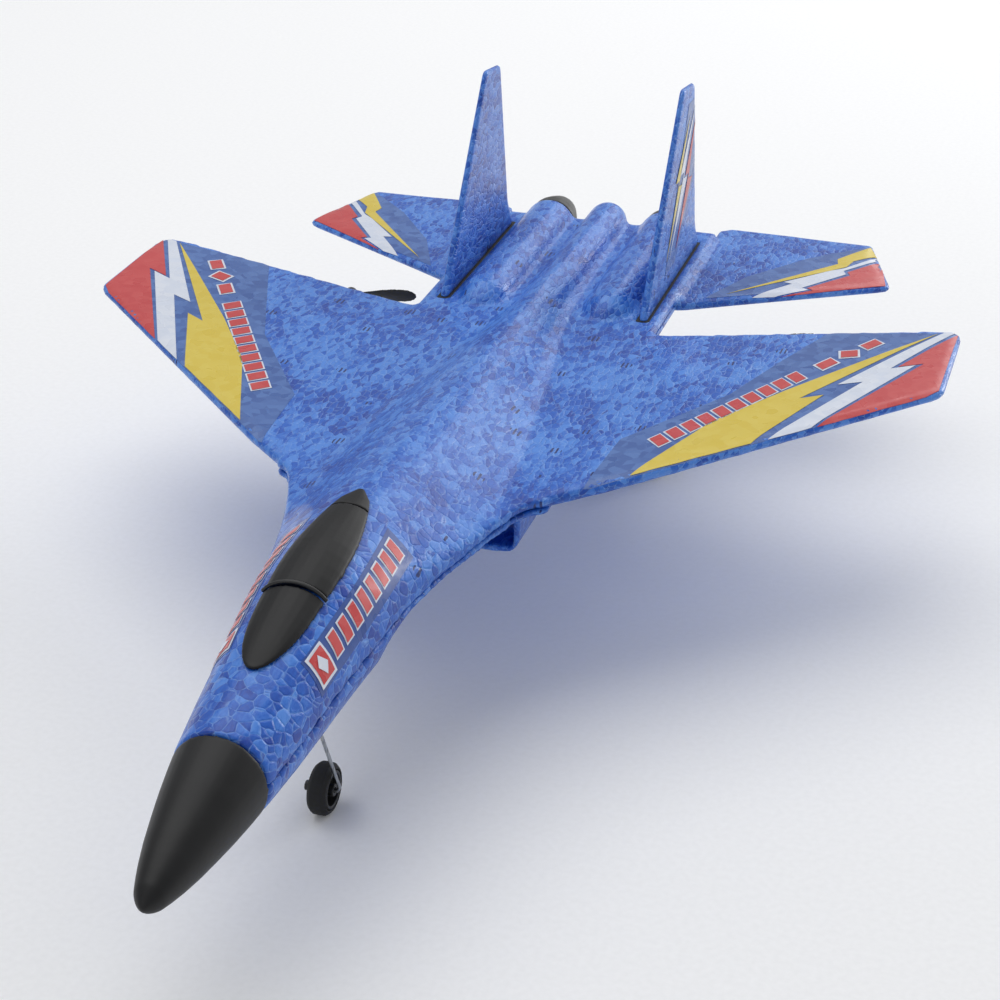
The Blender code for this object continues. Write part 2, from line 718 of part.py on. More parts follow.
def make_fin(side, sign):
    """An upright fin whose lower edge sits in the deck slot."""
    points = [(FIN_FRONT, FIN_TAB_LEVEL), (FIN_TIP_FRONT[0], FIN_TIP_FRONT[1]), FIN_TIP_REAR, FIN_KNEE,
              (FIN_REAR, FIN_TAB_LEVEL)]
    radii = (0.0010, 0.0030, 0.0025, 0.0060, 0.0010)
    outline = rounded_outline(points, radii)
    bm = bmesh.new()
    low = [bm.verts.new((sign * FIN_X - FIN_THICKNESS / 2, y_at(p.x), z_at(p.y))) for p in outline]
    face = bm.faces.new(low)
    grown = bmesh.ops.extrude_face_region(bm, geom=[face])
    moved = [item for item in grown["geom"] if isinstance(item, bmesh.types.BMVert)]
    bmesh.ops.translate(bm, verts=moved, vec=(FIN_THICKNESS, 0, 0))
    for vert in bm.verts:
        height = max(0.0, vert.co.z - z_at(0)) / FIN_TIP_FRONT[1]
        vert.co.x = sign * FIN_X + (vert.co.x - sign * FIN_X) * (1 - 0.35 * height)
    rims = [edge for edge in bm.edges if len(edge.link_faces) == 2
            and any(len(f.verts) > 4 for f in edge.link_faces)]
    bmesh.ops.bevel(bm, geom=rims, offset=FIN_EDGE_RADIUS, segments=2, profile=0.5, affect="EDGES")
    return add_object(f"{side}_fin", bm, foam())


def nacelle_floor(station):
    """Waterline of the nacelle's lowest line."""
    table = [(INTAKE_FRONT, INTAKE_FLOOR), (0.2400, INTAKE_FLOOR - 0.0006), (0.3300, -0.0175),
             (BODY_END, NACELLE_LEVEL - NACELLE_RADIUS)]
    return smooth(table, station)


def make_nacelle(side, sign):
    """The lower half of an engine nacelle, with its intake recess at the front."""
    stations = [INTAKE_FRONT, 0.1900, 0.1930, 0.2100, 0.2400, 0.2700, 0.3000, 0.3300, 0.3600, 0.3900,
                BODY_END]
    inner = [(INTAKE_FRONT, INTAKE_INNER), (0.3000, INTAKE_INNER), (0.3900, NACELLE_X - 0.0092),
             (BODY_END, max(NACELLE_X - NACELLE_RADIUS, keel_reach(BODY_END) + 2 * GAP))]
    outer = [(INTAKE_FRONT, INTAKE_OUTER), (0.3000, INTAKE_OUTER), (BODY_END, NACELLE_X + NACELLE_RADIUS)]
    squareness = [(INTAKE_FRONT, 4.5), (0.3000, 4.0), (BODY_END, 2.1)]
    roof = SEAM - PLATE_BELOW_SEAM - 2 * GAP
    rings = []
    for station in stations:
        a = smooth(inner, station)
        b = smooth(outer, station)
        depth = roof - nacelle_floor(station)
        power = smooth(squareness, station)
        middle = (a + b) / 2
        half = (b - a) / 2
        ring = []
        for angle in np.linspace(0, math.pi, 15):
            c = math.cos(angle)
            s = math.sin(angle)
            x = middle + half * math.copysign(abs(c) ** (2 / power), c)
            z = roof - depth * abs(s) ** (2 / power)
            ring.append(Vector((x * sign, y_at(station), z_at(z))))
        rings.append(ring)
    nacelle = loft(f"{side}_nacelle", rings, foam())
    recess = block(
        "recess",
        (min(sign * (INTAKE_INNER + INTAKE_WALL), sign * (INTAKE_OUTER - INTAKE_WALL)),
         y_at(INTAKE_FRONT - 0.004),
         z_at(INTAKE_FLOOR + INTAKE_WALL)),
        (max(sign * (INTAKE_INNER + INTAKE_WALL), sign * (INTAKE_OUTER - INTAKE_WALL)),
         y_at(INTAKE_FRONT + INTAKE_DEPTH), z_at(roof - INTAKE_WALL)),
        foam(), 0.0015)
    cut(nacelle, recess)
    wide, long, deep = GEAR_BLOCK
    level = nacelle_floor(MAIN_WHEEL_STATION) + BLOCK_RECESS
    pocket = block(
        "pocket",
        (sign * NACELLE_X - wide / 2 - GAP, y_at(MAIN_WHEEL_STATION) - long / 2 - GAP, z_at(-0.040)),
        (sign * NACELLE_X + wide / 2 + GAP, y_at(MAIN_WHEEL_STATION) + long / 2 + GAP,
         z_at(level + deep + GAP)),
        foam())
    return cut(nacelle, pocket)


def make_nozzle(side, sign):
    """A dark exhaust nozzle butted to the nacelle's rear end."""
    r = NACELLE_RADIUS - 0.0004
    exit_radius = NOZZLE_EXIT_RADIUS
    outer = [(0.0, r), (0.004, r - 0.0002), (0.0075, (r + exit_radius) / 2 + 0.0003), (NOZZLE_LENGTH, exit_radius)]
    inner = [(NOZZLE_LENGTH, exit_radius - NOZZLE_WALL), (0.0070, exit_radius - NOZZLE_WALL), (0.0035, r - 0.0030),
             (0.0030, 0.0)]
    profile = [(0.0, 0.0), *outer, *inner]
    start = (sign * NACELLE_X, y_at(BODY_END + GAP), z_at(NACELLE_LEVEL))
    return turned(f"{side}_nozzle", profile, start, (0, 1, 0), material("grey_plastic", GREY, 0.5), 26)


def make_drive(side, sign):
    """Motor, its cradle under the wing, and the propeller on its shaft."""
    x = sign * MOTOR_X
    z = z_at(MOTOR_LEVEL)
    rear = y_at(MOTOR_REAR)
    front = rear - MOTOR_LENGTH
    steel = material("steel", STEEL, 0.3, 1.0)
    r = MOTOR_RADIUS
    turned(f"{side}_motor", [(0, 0), (0, r - 0.0006), (0.0006, r), (MOTOR_LENGTH - 0.0006, r),
                             (MOTOR_LENGTH, r - 0.0006), (MOTOR_LENGTH, SHAFT_RADIUS + GAP),
                             (MOTOR_LENGTH - 0.004, SHAFT_RADIUS + GAP), (MOTOR_LENGTH - 0.004, 0)],
           (x, front, z), (0, 1, 0), steel, 22)
    shaft_end = y_at(HUB_FRONT + HUB_LENGTH - 0.001)
    cylinder(f"{side}_motor_shaft", (x, rear - 0.004 + GAP, z), (x, shaft_end, z), SHAFT_RADIUS, steel, 10)
    inner = r + GAP
    outer = inner + MOUNT_WALL
    sleeve = turned(f"{side}_motor_mount", [(0, inner), (0, outer), (MOUNT_LENGTH, outer), (MOUNT_LENGTH, inner)],
                    (x, front + 0.0015, z), (0, 1, 0), black_plastic(), 22)
    wide, long, thick = MOUNT_FLANGE
    under_wing = wing_level(MOTOR_X - wide / 2) - wing_thickness(MOTOR_X) / 2 - GAP
    plate = block("plate", (x - wide / 2, rear - long, z_at(under_wing) - thick),
                  (x + wide / 2, front + MOUNT_LENGTH, z_at(under_wing)), black_plastic())
    web = block("web", (x - 0.0026, front + 0.0024, z + inner + 0.0002),
                (x + 0.0026, front + 0.0006 + MOUNT_LENGTH, z_at(under_wing) - thick / 2), black_plastic())
    join(sleeve, plate)
    join(sleeve, web)
    cut(sleeve, cylinder("bore", (x, front - 0.002, z), (x, rear + 0.002, z), inner, black_plastic(), 22))
    make_propeller(side, x, z)


def make_propeller(side, x, z):
    """A two-bladed pusher propeller, with its own rest angle."""
    start = y_at(HUB_FRONT)
    profile = [(0, SHAFT_RADIUS + GAP), (0, HUB_RADIUS - 0.0004), (0.0004, HUB_RADIUS),
               (HUB_LENGTH - 0.0012, HUB_RADIUS), (HUB_LENGTH, HUB_RADIUS - 0.0010), (HUB_LENGTH, 0),
               (HUB_LENGTH - 0.0007, 0), (HUB_LENGTH - 0.0007, SHAFT_RADIUS + GAP)]
    outline = profile[:5] + [(HUB_LENGTH, SHAFT_RADIUS + GAP)]
    hub = turned(f"{side}_propeller", outline, (x, start, z), (0, 1, 0), black_plastic(), 18)
    hand = 1 if side == "left" else -1
    chord = [(0.0, 0.0032), (0.25, 0.0050), (0.62, BLADE_CHORD), (0.85, 0.0058), (0.95, 0.0040), (1.0, 0.0016)]
    pitch = [(0.0, math.radians(48)), (0.5, math.radians(28)), (1.0, math.radians(16))]
    root = HUB_RADIUS - 0.0008
    rest = PROPELLER_REST[side]
    for blade in range(2):
        rings = []
        for share in (0.0, 0.12, 0.25, 0.45, 0.62, 0.78, 0.88, 0.95, 1.0):
            reach = root + (BLADE_TIP - root) * share
            half_chord = smooth(chord, share) / 2
            angle = smooth(pitch, share) * hand
            thick = BLADE_THICKNESS * (1.3 - 0.6 * share) / 2
            ring = []
            for a in [2 * math.pi * k / 10 for k in range(10)]:
                c = half_chord * math.cos(a)
                t = thick * math.sin(a)
                ring.append(Vector((reach, c * math.sin(angle) + t * math.cos(angle),
                                    c * math.cos(angle) - t * math.sin(angle))))
            rings.append(ring)
        turn = rest + math.pi * blade
        centre = Vector((x, start + HUB_LENGTH / 2, z))
        placed = []
        for ring in rings:
            placed.append([centre + Vector((p.x * math.cos(turn) + p.z * math.sin(turn), p.y,
                                            -p.x * math.sin(turn) + p.z * math.cos(turn))) for p in ring])
        join(hub, loft("blade", placed, black_plastic()))
    return hub


def wire(name, points, radius, sides=8):
    """A bent wire: a tube along straight runs, mitred at each bend."""
    rings = []
    count = len(points)
    side = None
    for i, point in enumerate(points):
        here = Vector(point)
        before = (here - Vector(points[i - 1])).normalized() if i else None
        after = (Vector(points[i + 1]) - here).normalized() if i < count - 1 else None
        along = (before + after).normalized() if before and after else (before or after)
        if side is None:
            side = along.orthogonal().normalized()
        side = (side - along * side.dot(along)).normalized()
        other = along.cross(side)
        stretch = 1.0 / max(0.5, along.dot(before or after))
        turn = [2 * math.pi * k / sides for k in range(sides)]
        rings.append([here + (side * math.cos(a) + other * math.sin(a)) * radius * math.sqrt(stretch) for a in turn])
    return loft(name, rings, material("steel", STEEL, 0.3, 1.0))


def axle_height():
    """Waterline of the wheel axles."""
    return GROUND + WHEEL_RADIUS


def make_wheel(prefix, x, station, outboard):
    """A spoked wheel, its tyre and the collar that keeps it on the axle."""
    y = y_at(station)
    z = z_at(axle_height())
    half = WHEEL_WIDTH / 2
    bead = WHEEL_RADIUS - TYRE_DEPTH
    bore = WIRE_RADIUS + RUNNING_CLEARANCE
    start = (x - half, y, z)
    r = WHEEL_RADIUS
    turned(f"{prefix}_tyre", [(0.0004, bead + GAP), (0.0004, r - 0.0012), (0.0016, r - 0.0001),
                              (WHEEL_WIDTH / 2, r), (WHEEL_WIDTH - 0.0016, r - 0.0001),
                              (WHEEL_WIDTH - 0.0004, r - 0.0012), (WHEEL_WIDTH - 0.0004, bead + GAP)],
           start, (1, 0, 0), material("tyre_rubber", BLACK, 0.7), 28)
    boss = turned(f"{prefix}_wheel", [(0, bore), (0, WHEEL_BOSS_RADIUS), (WHEEL_WIDTH, WHEEL_BOSS_RADIUS),
                                      (WHEEL_WIDTH, bore)], start, (1, 0, 0), black_plastic(), 14)
    rim = turned("rim", [(0.0004, bead - 0.0009), (0.0004, bead), (WHEEL_WIDTH - 0.0004, bead),
                         (WHEEL_WIDTH - 0.0004, bead - 0.0009)], start, (1, 0, 0), black_plastic(), 28)
    for k in range(SPOKES):
        angle = 2 * math.pi * (k + 0.25) / SPOKES
        out = Vector((0, math.cos(angle), math.sin(angle)))
        side = Vector((0, -math.sin(angle), math.cos(angle)))
        centre = Vector((x, y, z))
        ring_at = []
        for reach, wide in ((WHEEL_BOSS_RADIUS - 0.0005, 0.0009), (bead - 0.0004, 0.0007)):
            ring_at.append([centre + out * reach + side * s * wide + Vector((d * 0.0009, 0, 0))
                            for s, d in ((1, 1), (-1, 1), (-1, -1), (1, -1))])
        join(rim, loft("spoke", ring_at, black_plastic()))
    join(boss, rim)
    reach = half + 0.0002 + GAP
    near = x + outboard * reach
    turned(f"{prefix}_axle_collar", [(0, WIRE_RADIUS + GAP), (0, COLLAR_RADIUS), (COLLAR_LENGTH, COLLAR_RADIUS),
                                     (COLLAR_LENGTH, WIRE_RADIUS + GAP)],
           (near, y, z), (outboard, 0, 0), black_plastic(), 14)


def gear_block(name, x, station, level):
    """A plastic block let into the foam, which holds a gear leg; it lies flush with the skin."""
    wide, long, deep = GEAR_BLOCK
    made = block(name, (x - wide / 2, y_at(station) - long / 2, z_at(level)),
                 (x + wide / 2, y_at(station) + long / 2, z_at(level + deep)), black_plastic())
    return made


def make_nose_gear():
    """A single wire leg that trails back and out to the left of the nose wheel, then turns in as its axle."""
    wide, long, deep = GEAR_BLOCK
    level = smooth(BELLY_LINE, NOSE_LEG_STATION) + BLOCK_RECESS
    axle = z_at(axle_height())
    y = y_at(NOSE_WHEEL_STATION)
    leg_y = y_at(NOSE_LEG_STATION)
    holder = gear_block("nose_gear_block", 0, NOSE_LEG_STATION, level)
    top = z_at(level + deep - 0.0015)
    low = z_at(level) - 0.0010
    outer = NOSE_WHEEL_X + WHEEL_WIDTH / 2 + 0.0014
    points = [(NOSE_LEG_X, leg_y, top), (NOSE_LEG_X, leg_y, low), (outer, y, axle + 0.0012),
              (outer - 0.0007, y, axle), (NOSE_WHEEL_X - WHEEL_WIDTH / 2 - 0.0026, y, axle)]
    leg = wire("nose_gear_leg", points, WIRE_RADIUS)
    cut(holder, cylinder("hole", (NOSE_LEG_X, leg_y, low - 0.002), (NOSE_LEG_X, leg_y, top + GAP),
                         WIRE_RADIUS + GAP, black_plastic(), 16))
    make_wheel("nose", NOSE_WHEEL_X, NOSE_WHEEL_STATION, -1)
    return leg


def make_main_gear(side, sign):
    """A wire leg under a nacelle, splayed out to its wheel."""
    station = MAIN_WHEEL_STATION
    level = nacelle_floor(station) + BLOCK_RECESS
    axle = z_at(axle_height())
    y = y_at(station)
    inner = sign * (MAIN_WHEEL_X - WHEEL_WIDTH / 2 - 0.0014)
    x = sign * NACELLE_X
    holder = gear_block(f"{side}_gear_block", x, station, level)
    top = z_at(level + GEAR_BLOCK[2] - 0.0015)
    points = [(x, y, top), (x, y, z_at(level) - 0.0040), (inner, y, axle + 0.0012),
              (inner + sign * 0.0007, y, axle),
              (sign * (MAIN_WHEEL_X + WHEEL_WIDTH / 2 + 0.0026), y, axle)]
    wire(f"{side}_gear_leg", points, WIRE_RADIUS)
    cut(holder, cylinder("hole", (x, y, z_at(level) - 0.003), (x, y, top + GAP), WIRE_RADIUS + GAP,
                         black_plastic(), 16))
    make_wheel(side, sign * MAIN_WHEEL_X, station, sign)


def make_power_bay():
    """Battery box let into the belly, its hinged door, the cell, the receiver and the switch."""
    half = BOX_HALF_WIDTH
    low = BELLY_AT_BOX + 0.0004
    high = BELLY_AT_BOX + BOX_HEIGHT
    front = y_at(BOX_FRONT)
    rear = front + BOX_LENGTH
    box = block("battery_box", (-half, front, z_at(low)), (half, rear, z_at(high)), black_plastic())
    cut(box, block("hollow", (-half + BOX_WALL, front + BOX_WALL, z_at(low) - 0.002),
                   (half - BOX_WALL, rear - BOX_WALL, z_at(high - BOX_WALL)), black_plastic()))
    wide, long, thick = BATTERY
    middle = (front + rear) / 2
    block("battery", (-wide / 2, middle - long / 2, z_at(high - BOX_WALL - GAP - thick)),
          (wide / 2, middle + long / 2, z_at(high - BOX_WALL - GAP)), material("battery_wrap", (0.35, 0.36, 0.4), 0.4),
          0.0008)
    barrel = HINGE_PIN_RADIUS + GAP + 0.0005
    pin_y = rear - BOX_WALL - barrel - 2 * GAP
    pin_z = z_at(low) - 0.0004
    knuckle_end = half * 0.5
    plate_low = pin_z - DOOR_THICKNESS / 2
    plate_high = pin_z + DOOR_THICKNESS / 2
    door = block("battery_door", (-half + BOX_WALL + GAP, front + BOX_WALL + GAP, plate_low),
                 (half - BOX_WALL - GAP, pin_y - barrel - 2 * GAP, plate_high), black_plastic())
    tongue = block("tongue", (-knuckle_end, pin_y - barrel - 4 * GAP, plate_low + 0.0001),
                   (knuckle_end, pin_y, plate_high - 0.0001), black_plastic())
    knuckle = cylinder("knuckle", (-knuckle_end, pin_y, pin_z), (knuckle_end, pin_y, pin_z), barrel,
                       black_plastic(), 16)
    join(knuckle, tongue)
    cut(knuckle, cylinder("hole", (-half, pin_y, pin_z), (half, pin_y, pin_z),
                          HINGE_PIN_RADIUS + RUNNING_CLEARANCE, black_plastic(), 16))
    join(door, knuckle)
    reach = half * 0.80
    for sign in (-1, 1):
        near = sign * (knuckle_end + GAP)
        far = sign * reach
        lug = cylinder("lug", (min(near, far), pin_y, pin_z), (max(near, far), pin_y, pin_z), barrel,
                       black_plastic(), 16)
        post = block("post", (min(near, far) + 0.0001, pin_y + 0.0001, pin_z - 0.0009),
                     (max(near, far) - 0.0001, rear - BOX_WALL / 2, pin_z + 0.0030), black_plastic())
        join(lug, post)
        join(box, lug)
    cut(box, cylinder("hole", (-reach - 0.001, pin_y, pin_z), (reach + 0.001, pin_y, pin_z),
                      HINGE_PIN_RADIUS + GAP, black_plastic(), 16))
    cylinder("door_hinge_pin", (-reach, pin_y, pin_z), (reach, pin_y, pin_z), HINGE_PIN_RADIUS,
             material("steel", STEEL, 0.3, 1.0), 12)
    wide, long, thick = BOARD
    y = y_at(BOARD_STATION)
    shelf = z_at(SEAM - BOARD_POCKET_DEPTH) + GAP
    board = block("receiver_board", (-wide / 2, y - long / 2, shelf), (wide / 2, y + long / 2,
                                                                       shelf + thick),
                  material("circuit_board", (0.02, 0.18, 0.08), 0.4))
    for dx, dy, size, tall in ((-0.002, -0.005, 0.005, 0.0012), (0.003, 0.005, 0.0035, 0.0016),
                               (-0.004, 0.007, 0.003, 0.0022)):
        chip = block("chip", (dx - size / 2, y + dy - size / 2, shelf + thick / 2),
                     (dx + size / 2, y + dy + size / 2, shelf + thick + tall), black_plastic())
        join(board, chip)
    make_switch()


def make_switch():
    """A slide switch let into the belly behind the battery door; its slider moves fore and aft."""
    wide, long, deep = SWITCH_BODY
    y = y_at(SWITCH_STATION)
    low = z_at(smooth(BELLY_LINE, SWITCH_STATION)) + 0.0008
    body = block("power_switch", (-wide / 2, y - long / 2, low), (wide / 2, y + long / 2, low + deep),
                 black_plastic())
    stem_wide = 0.0012
    stem_long = 0.0022
    travel = SWITCH_TRAVEL
    cut(body, block("slot", (-stem_wide / 2 - GAP, y - (stem_long + travel) / 2 - GAP, low - 0.001),
                    (stem_wide / 2 + GAP, y + (stem_long + travel) / 2 + GAP,
                     low + 0.0026), black_plastic()))
    start = y - travel / 2
    block("switch_slider", (-stem_wide / 2, start - stem_long / 2, low - 0.0020),
          (stem_wide / 2, start + stem_long / 2, low + 0.0022), material("grey_plastic", GREY, 0.5))


def make_spar():
    """The carbon rod that joins the wing panels through the body."""
    reach = BODY_HALF_WIDTH + SPAR_REACH
    y = y_at(SPAR_STATION)
    z = z_at(spar_level())
    return cylinder("wing_spar", (-reach, y, z), (reach, y, z), SPAR_RADIUS, material("carbon", (0.03, 0.03, 0.03), 0.4),
                    16)


def main():
    clear_scene()
    make_upper_body()
    make_lower_body()
    make_nose_cone()
    make_canopy_panel("windscreen", CANOPY_FRONT, CANOPY_BOW - BOW_WIRE_RADIUS - GAP)
    make_canopy_panel("canopy", CANOPY_BOW + BOW_WIRE_RADIUS + GAP, CANOPY_AFT_LINE - GAP / 2)
    make_canopy_panel("canopy_fairing", CANOPY_AFT_LINE + GAP / 2, CANOPY_REAR)
    make_bow()
    make_spar()
    for side, sign in (("left", 1), ("right", -1)):
        make_wing(side, sign)
        make_tailplane(side, sign)
        make_fin(side, sign)
        make_nacelle(side, sign)
        make_nozzle(side, sign)
        make_drive(side, sign)
        make_main_gear(side, sign)
    make_nose_gear()
    make_power_bay()


main()
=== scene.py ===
"""Twin-propeller foam jet: skins, hard parts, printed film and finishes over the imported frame."""
import logging
import math
from dataclasses import dataclass, field
from enum import Enum
from typing import Iterable, Sequence

import bpy
from mathutils import Matrix, Vector
from mathutils.bvhtree import BVHTree


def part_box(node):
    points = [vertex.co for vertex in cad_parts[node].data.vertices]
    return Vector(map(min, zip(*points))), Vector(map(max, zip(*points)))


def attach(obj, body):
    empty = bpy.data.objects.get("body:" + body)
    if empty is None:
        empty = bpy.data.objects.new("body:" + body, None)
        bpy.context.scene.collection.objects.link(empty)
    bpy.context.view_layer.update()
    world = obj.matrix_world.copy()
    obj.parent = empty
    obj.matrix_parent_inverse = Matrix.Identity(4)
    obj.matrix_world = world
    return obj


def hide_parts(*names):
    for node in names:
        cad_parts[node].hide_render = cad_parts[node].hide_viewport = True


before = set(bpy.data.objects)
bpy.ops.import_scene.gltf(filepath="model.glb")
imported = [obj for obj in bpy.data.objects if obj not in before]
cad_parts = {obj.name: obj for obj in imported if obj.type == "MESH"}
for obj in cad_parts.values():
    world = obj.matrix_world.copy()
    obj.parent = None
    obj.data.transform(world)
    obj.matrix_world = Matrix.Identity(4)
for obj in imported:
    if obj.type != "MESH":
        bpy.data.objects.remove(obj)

LOG = logging.getLogger("foam_jet")
MM = 0.001
SIDES = (("left", 1.0), ("right", -1.0))
# A wave texture of scale 1 repeats every pi / 10, so this over a spacing is the scale for that spacing.
WAVE_PITCH = 0.314
Point = tuple[float, float]
Outline = Sequence[Point]


def linear(code: str) -> tuple[float, float, float, float]:
    """Turns an sRGB hex colour into a linear one.

    Args:
        code: Colour such as "#3f6cc0".

    Returns:
        Linear red, green, blue and an alpha of 1.
    """
    parts = [int(code[i : i + 2], 16) / 255 for i in (1, 3, 5)]
    red, green, blue = (c / 12.92 if c <= 0.04045 else ((c + 0.055) / 1.055) ** 2.4 for c in parts)
    return red, green, blue, 1.0


def add_node(
    tree: bpy.types.NodeTree, kind: str, settings: dict | None = None, links: dict | None = None
) -> bpy.types.Node:
    """Adds one shader node with its settings and links.

    Args:
        tree: Node tree that the node goes in.
        kind: Blender's name for the node type.
        settings: Values by input number, input name, attribute name, or "stops" for a colour ramp.
        links: Output sockets by the number or name of the input that they feed.

    Returns:
        The new node.
    """
    node = tree.nodes.new(kind)
    for key, value in (settings or {}).items():
        if key == "stops":
            elements = node.color_ramp.elements
            while len(elements) < len(value):
                elements.new(1.0)
            for element, (place, code) in zip(elements, value):
                element.position, element.color = place, linear(code)
        elif isinstance(key, int) or key in node.inputs:
            node.inputs[key].default_value = value
        else:
            setattr(node, key, value)
    for key, source in (links or {}).items():
        tree.links.new(source, node.inputs[key])
    return node


def new_material(name: str) -> tuple[bpy.types.Material, bpy.types.NodeTree, bpy.types.NodeSocket]:
    """Starts an empty node material that reads Object coordinates.

    Args:
        name: Name of the finish.

    Returns:
        The material, its node tree and the Object coordinate socket.
    """
    material = bpy.data.materials.new(name)
    material.use_nodes = True
    material.node_tree.nodes.clear()
    where = add_node(material.node_tree, "ShaderNodeTexCoord").outputs["Object"]
    return material, material.node_tree, where


def close_material(tree: bpy.types.NodeTree, settings: dict, links: dict) -> None:
    """Ends a material in one Principled shader.

    Args:
        tree: Node tree of the material.
        settings: Constants set on the shader's own sockets.
        links: Sockets that feed the shader.
    """
    shader = add_node(tree, "ShaderNodeBsdfPrincipled", settings, links)
    add_node(tree, "ShaderNodeOutputMaterial", links={"Surface": shader.outputs[0]})


@dataclass(frozen=True)
class BeadFoam:
    """Expanded polypropylene, steam moulded: glossy skin of flattened beads with pale borders, finer aft."""

    name: str = "expanded_polypropylene_bead_foam"
    bead: float = 3.1 * MM
    streak: float = 1.7 * MM
    dark: str = "#0a3a9c"
    mid: str = "#1c60c4"
    light: str = "#4e88de"
    border: str = "#93bcf2"
    vent: str = "#0b2a6e"
    squeeze: float = 7 * MM
    push: float = 2.2 * MM
    drawn: float = 0.42
    cloud: float = 26 * MM
    craze: float = 0.8 * MM
    broken: float = 3.2 * MM
    vent_spacing: float = 17 * MM
    dash_spacing: float = 1.5 * MM
    depth: float = 0.2 * MM
    bead_share: float = 0.6
    craze_share: float = 0.34
    aft_share: float = 0.17
    contrast: float = 0.73
    vent_reach: float = 0.135
    dash_share: float = 0.62
    forward_end: float = -85 * MM
    aft_start: float = 5 * MM

    def build(self) -> bpy.types.Material:
        """Builds the node material."""
        material, tree, where = new_material(self.name)
        # Beads press into each other unevenly, so the cell pattern is pushed about by up to 2 mm.
        push = add_node(tree, "ShaderNodeTexNoise", {"Scale": 1 / self.squeeze, "Detail": 2.0},
                        {"Vector": where})
        warped = add_node(tree, "ShaderNodeVectorMath", {"operation": "MULTIPLY_ADD", 1: (self.push,) * 3},
                          {0: push.outputs["Color"], 2: where}).outputs[0]
        # Aft beads are drawn out along the flow of the mould, so their coordinates are pressed along Y.
        drawn = add_node(tree, "ShaderNodeVectorMath", {"operation": "MULTIPLY", 1: (1.0, self.drawn, 1.0)},
                         {0: warped}).outputs[0]
        beads = add_node(tree, "ShaderNodeTexVoronoi", {"Scale": 1 / self.bead}, {"Vector": warped})
        rims = add_node(tree, "ShaderNodeTexVoronoi",
                        {"feature": "DISTANCE_TO_EDGE", "Scale": 1 / self.bead}, {"Vector": warped})
        fine = add_node(tree, "ShaderNodeTexVoronoi", {"Scale": 1 / self.streak}, {"Vector": drawn})
        fine_rims = add_node(tree, "ShaderNodeTexVoronoi",
                             {"feature": "DISTANCE_TO_EDGE", "Scale": 1 / self.streak}, {"Vector": drawn})
        place = add_node(tree, "ShaderNodeSeparateXYZ", links={0: where})
        aft = add_node(tree, "ShaderNodeMapRange",
                       {"From Min": self.forward_end, "From Max": self.aft_start,
                        "To Min": 0.15, "To Max": 0.85},
                       {"Value": place.outputs["Y"]})
        tone = add_node(tree, "ShaderNodeMix", {"data_type": "RGBA"},
                        {0: aft.outputs[0], 6: beads.outputs["Color"], 7: fine.outputs["Color"]})
        rim = add_node(tree, "ShaderNodeMix", {"data_type": "FLOAT"},
                       {0: aft.outputs[0], 2: rims.outputs["Distance"], 3: fine_rims.outputs["Distance"]})
        grey = add_node(tree, "ShaderNodeSeparateColor", links={0: tone.outputs[2]})
        cloud = add_node(tree, "ShaderNodeTexNoise", {"Scale": 1 / self.cloud, "Detail": 3.0},
                         {"Vector": where})
        mixed = add_node(tree, "ShaderNodeMath", {"operation": "MULTIPLY_ADD", 1: self.bead_share},
                         {0: grey.outputs[0], 2: cloud.outputs["Fac"]})
        # Each bead's skin is crazed at just under a millimetre, and the foam is darker towards the nose.
        craze = add_node(tree, "ShaderNodeTexNoise", {"Scale": 1 / self.craze, "Detail": 3.0},
                         {"Vector": drawn})
        crazed = add_node(tree, "ShaderNodeMath", {"operation": "MULTIPLY_ADD", 1: self.craze_share},
                          {0: craze.outputs["Fac"], 2: mixed.outputs[0]})
        darker_forward = add_node(tree, "ShaderNodeMath", {"operation": "MULTIPLY_ADD", 1: self.aft_share},
                          {0: aft.outputs[0], 2: crazed.outputs[0]})
        # The sum of the four patterns is brought back to the ramp's range.
        tuned = add_node(tree, "ShaderNodeMath", {"operation": "MULTIPLY", 1: self.contrast},
                         {0: darker_forward.outputs[0]})
        ramp = add_node(tree, "ShaderNodeValToRGB",
                        {"stops": [(0.50, self.dark), (0.76, self.mid), (0.94, self.light)]},
                        {0: tuned.outputs[0]})
        # The border film shows only where the steam reached it, so a noise breaks it up.
        line = add_node(tree, "ShaderNodeMapRange",
                        {"From Min": 0.0, "From Max": 0.07, "To Min": 0.8, "To Max": 0.0},
                        {"Value": rim.outputs[0]})
        broken = add_node(tree, "ShaderNodeTexNoise", {"Scale": 1 / self.broken, "Detail": 1.0},
                          {"Vector": where})
        lit = add_node(tree, "ShaderNodeMath", {"operation": "MULTIPLY"},
                       {0: line.outputs[0], 1: broken.outputs["Fac"]})
        skin = add_node(tree, "ShaderNodeMix", {"data_type": "RGBA", 7: linear(self.border)},
                        {0: lit.outputs[0], 6: ramp.outputs[0]})
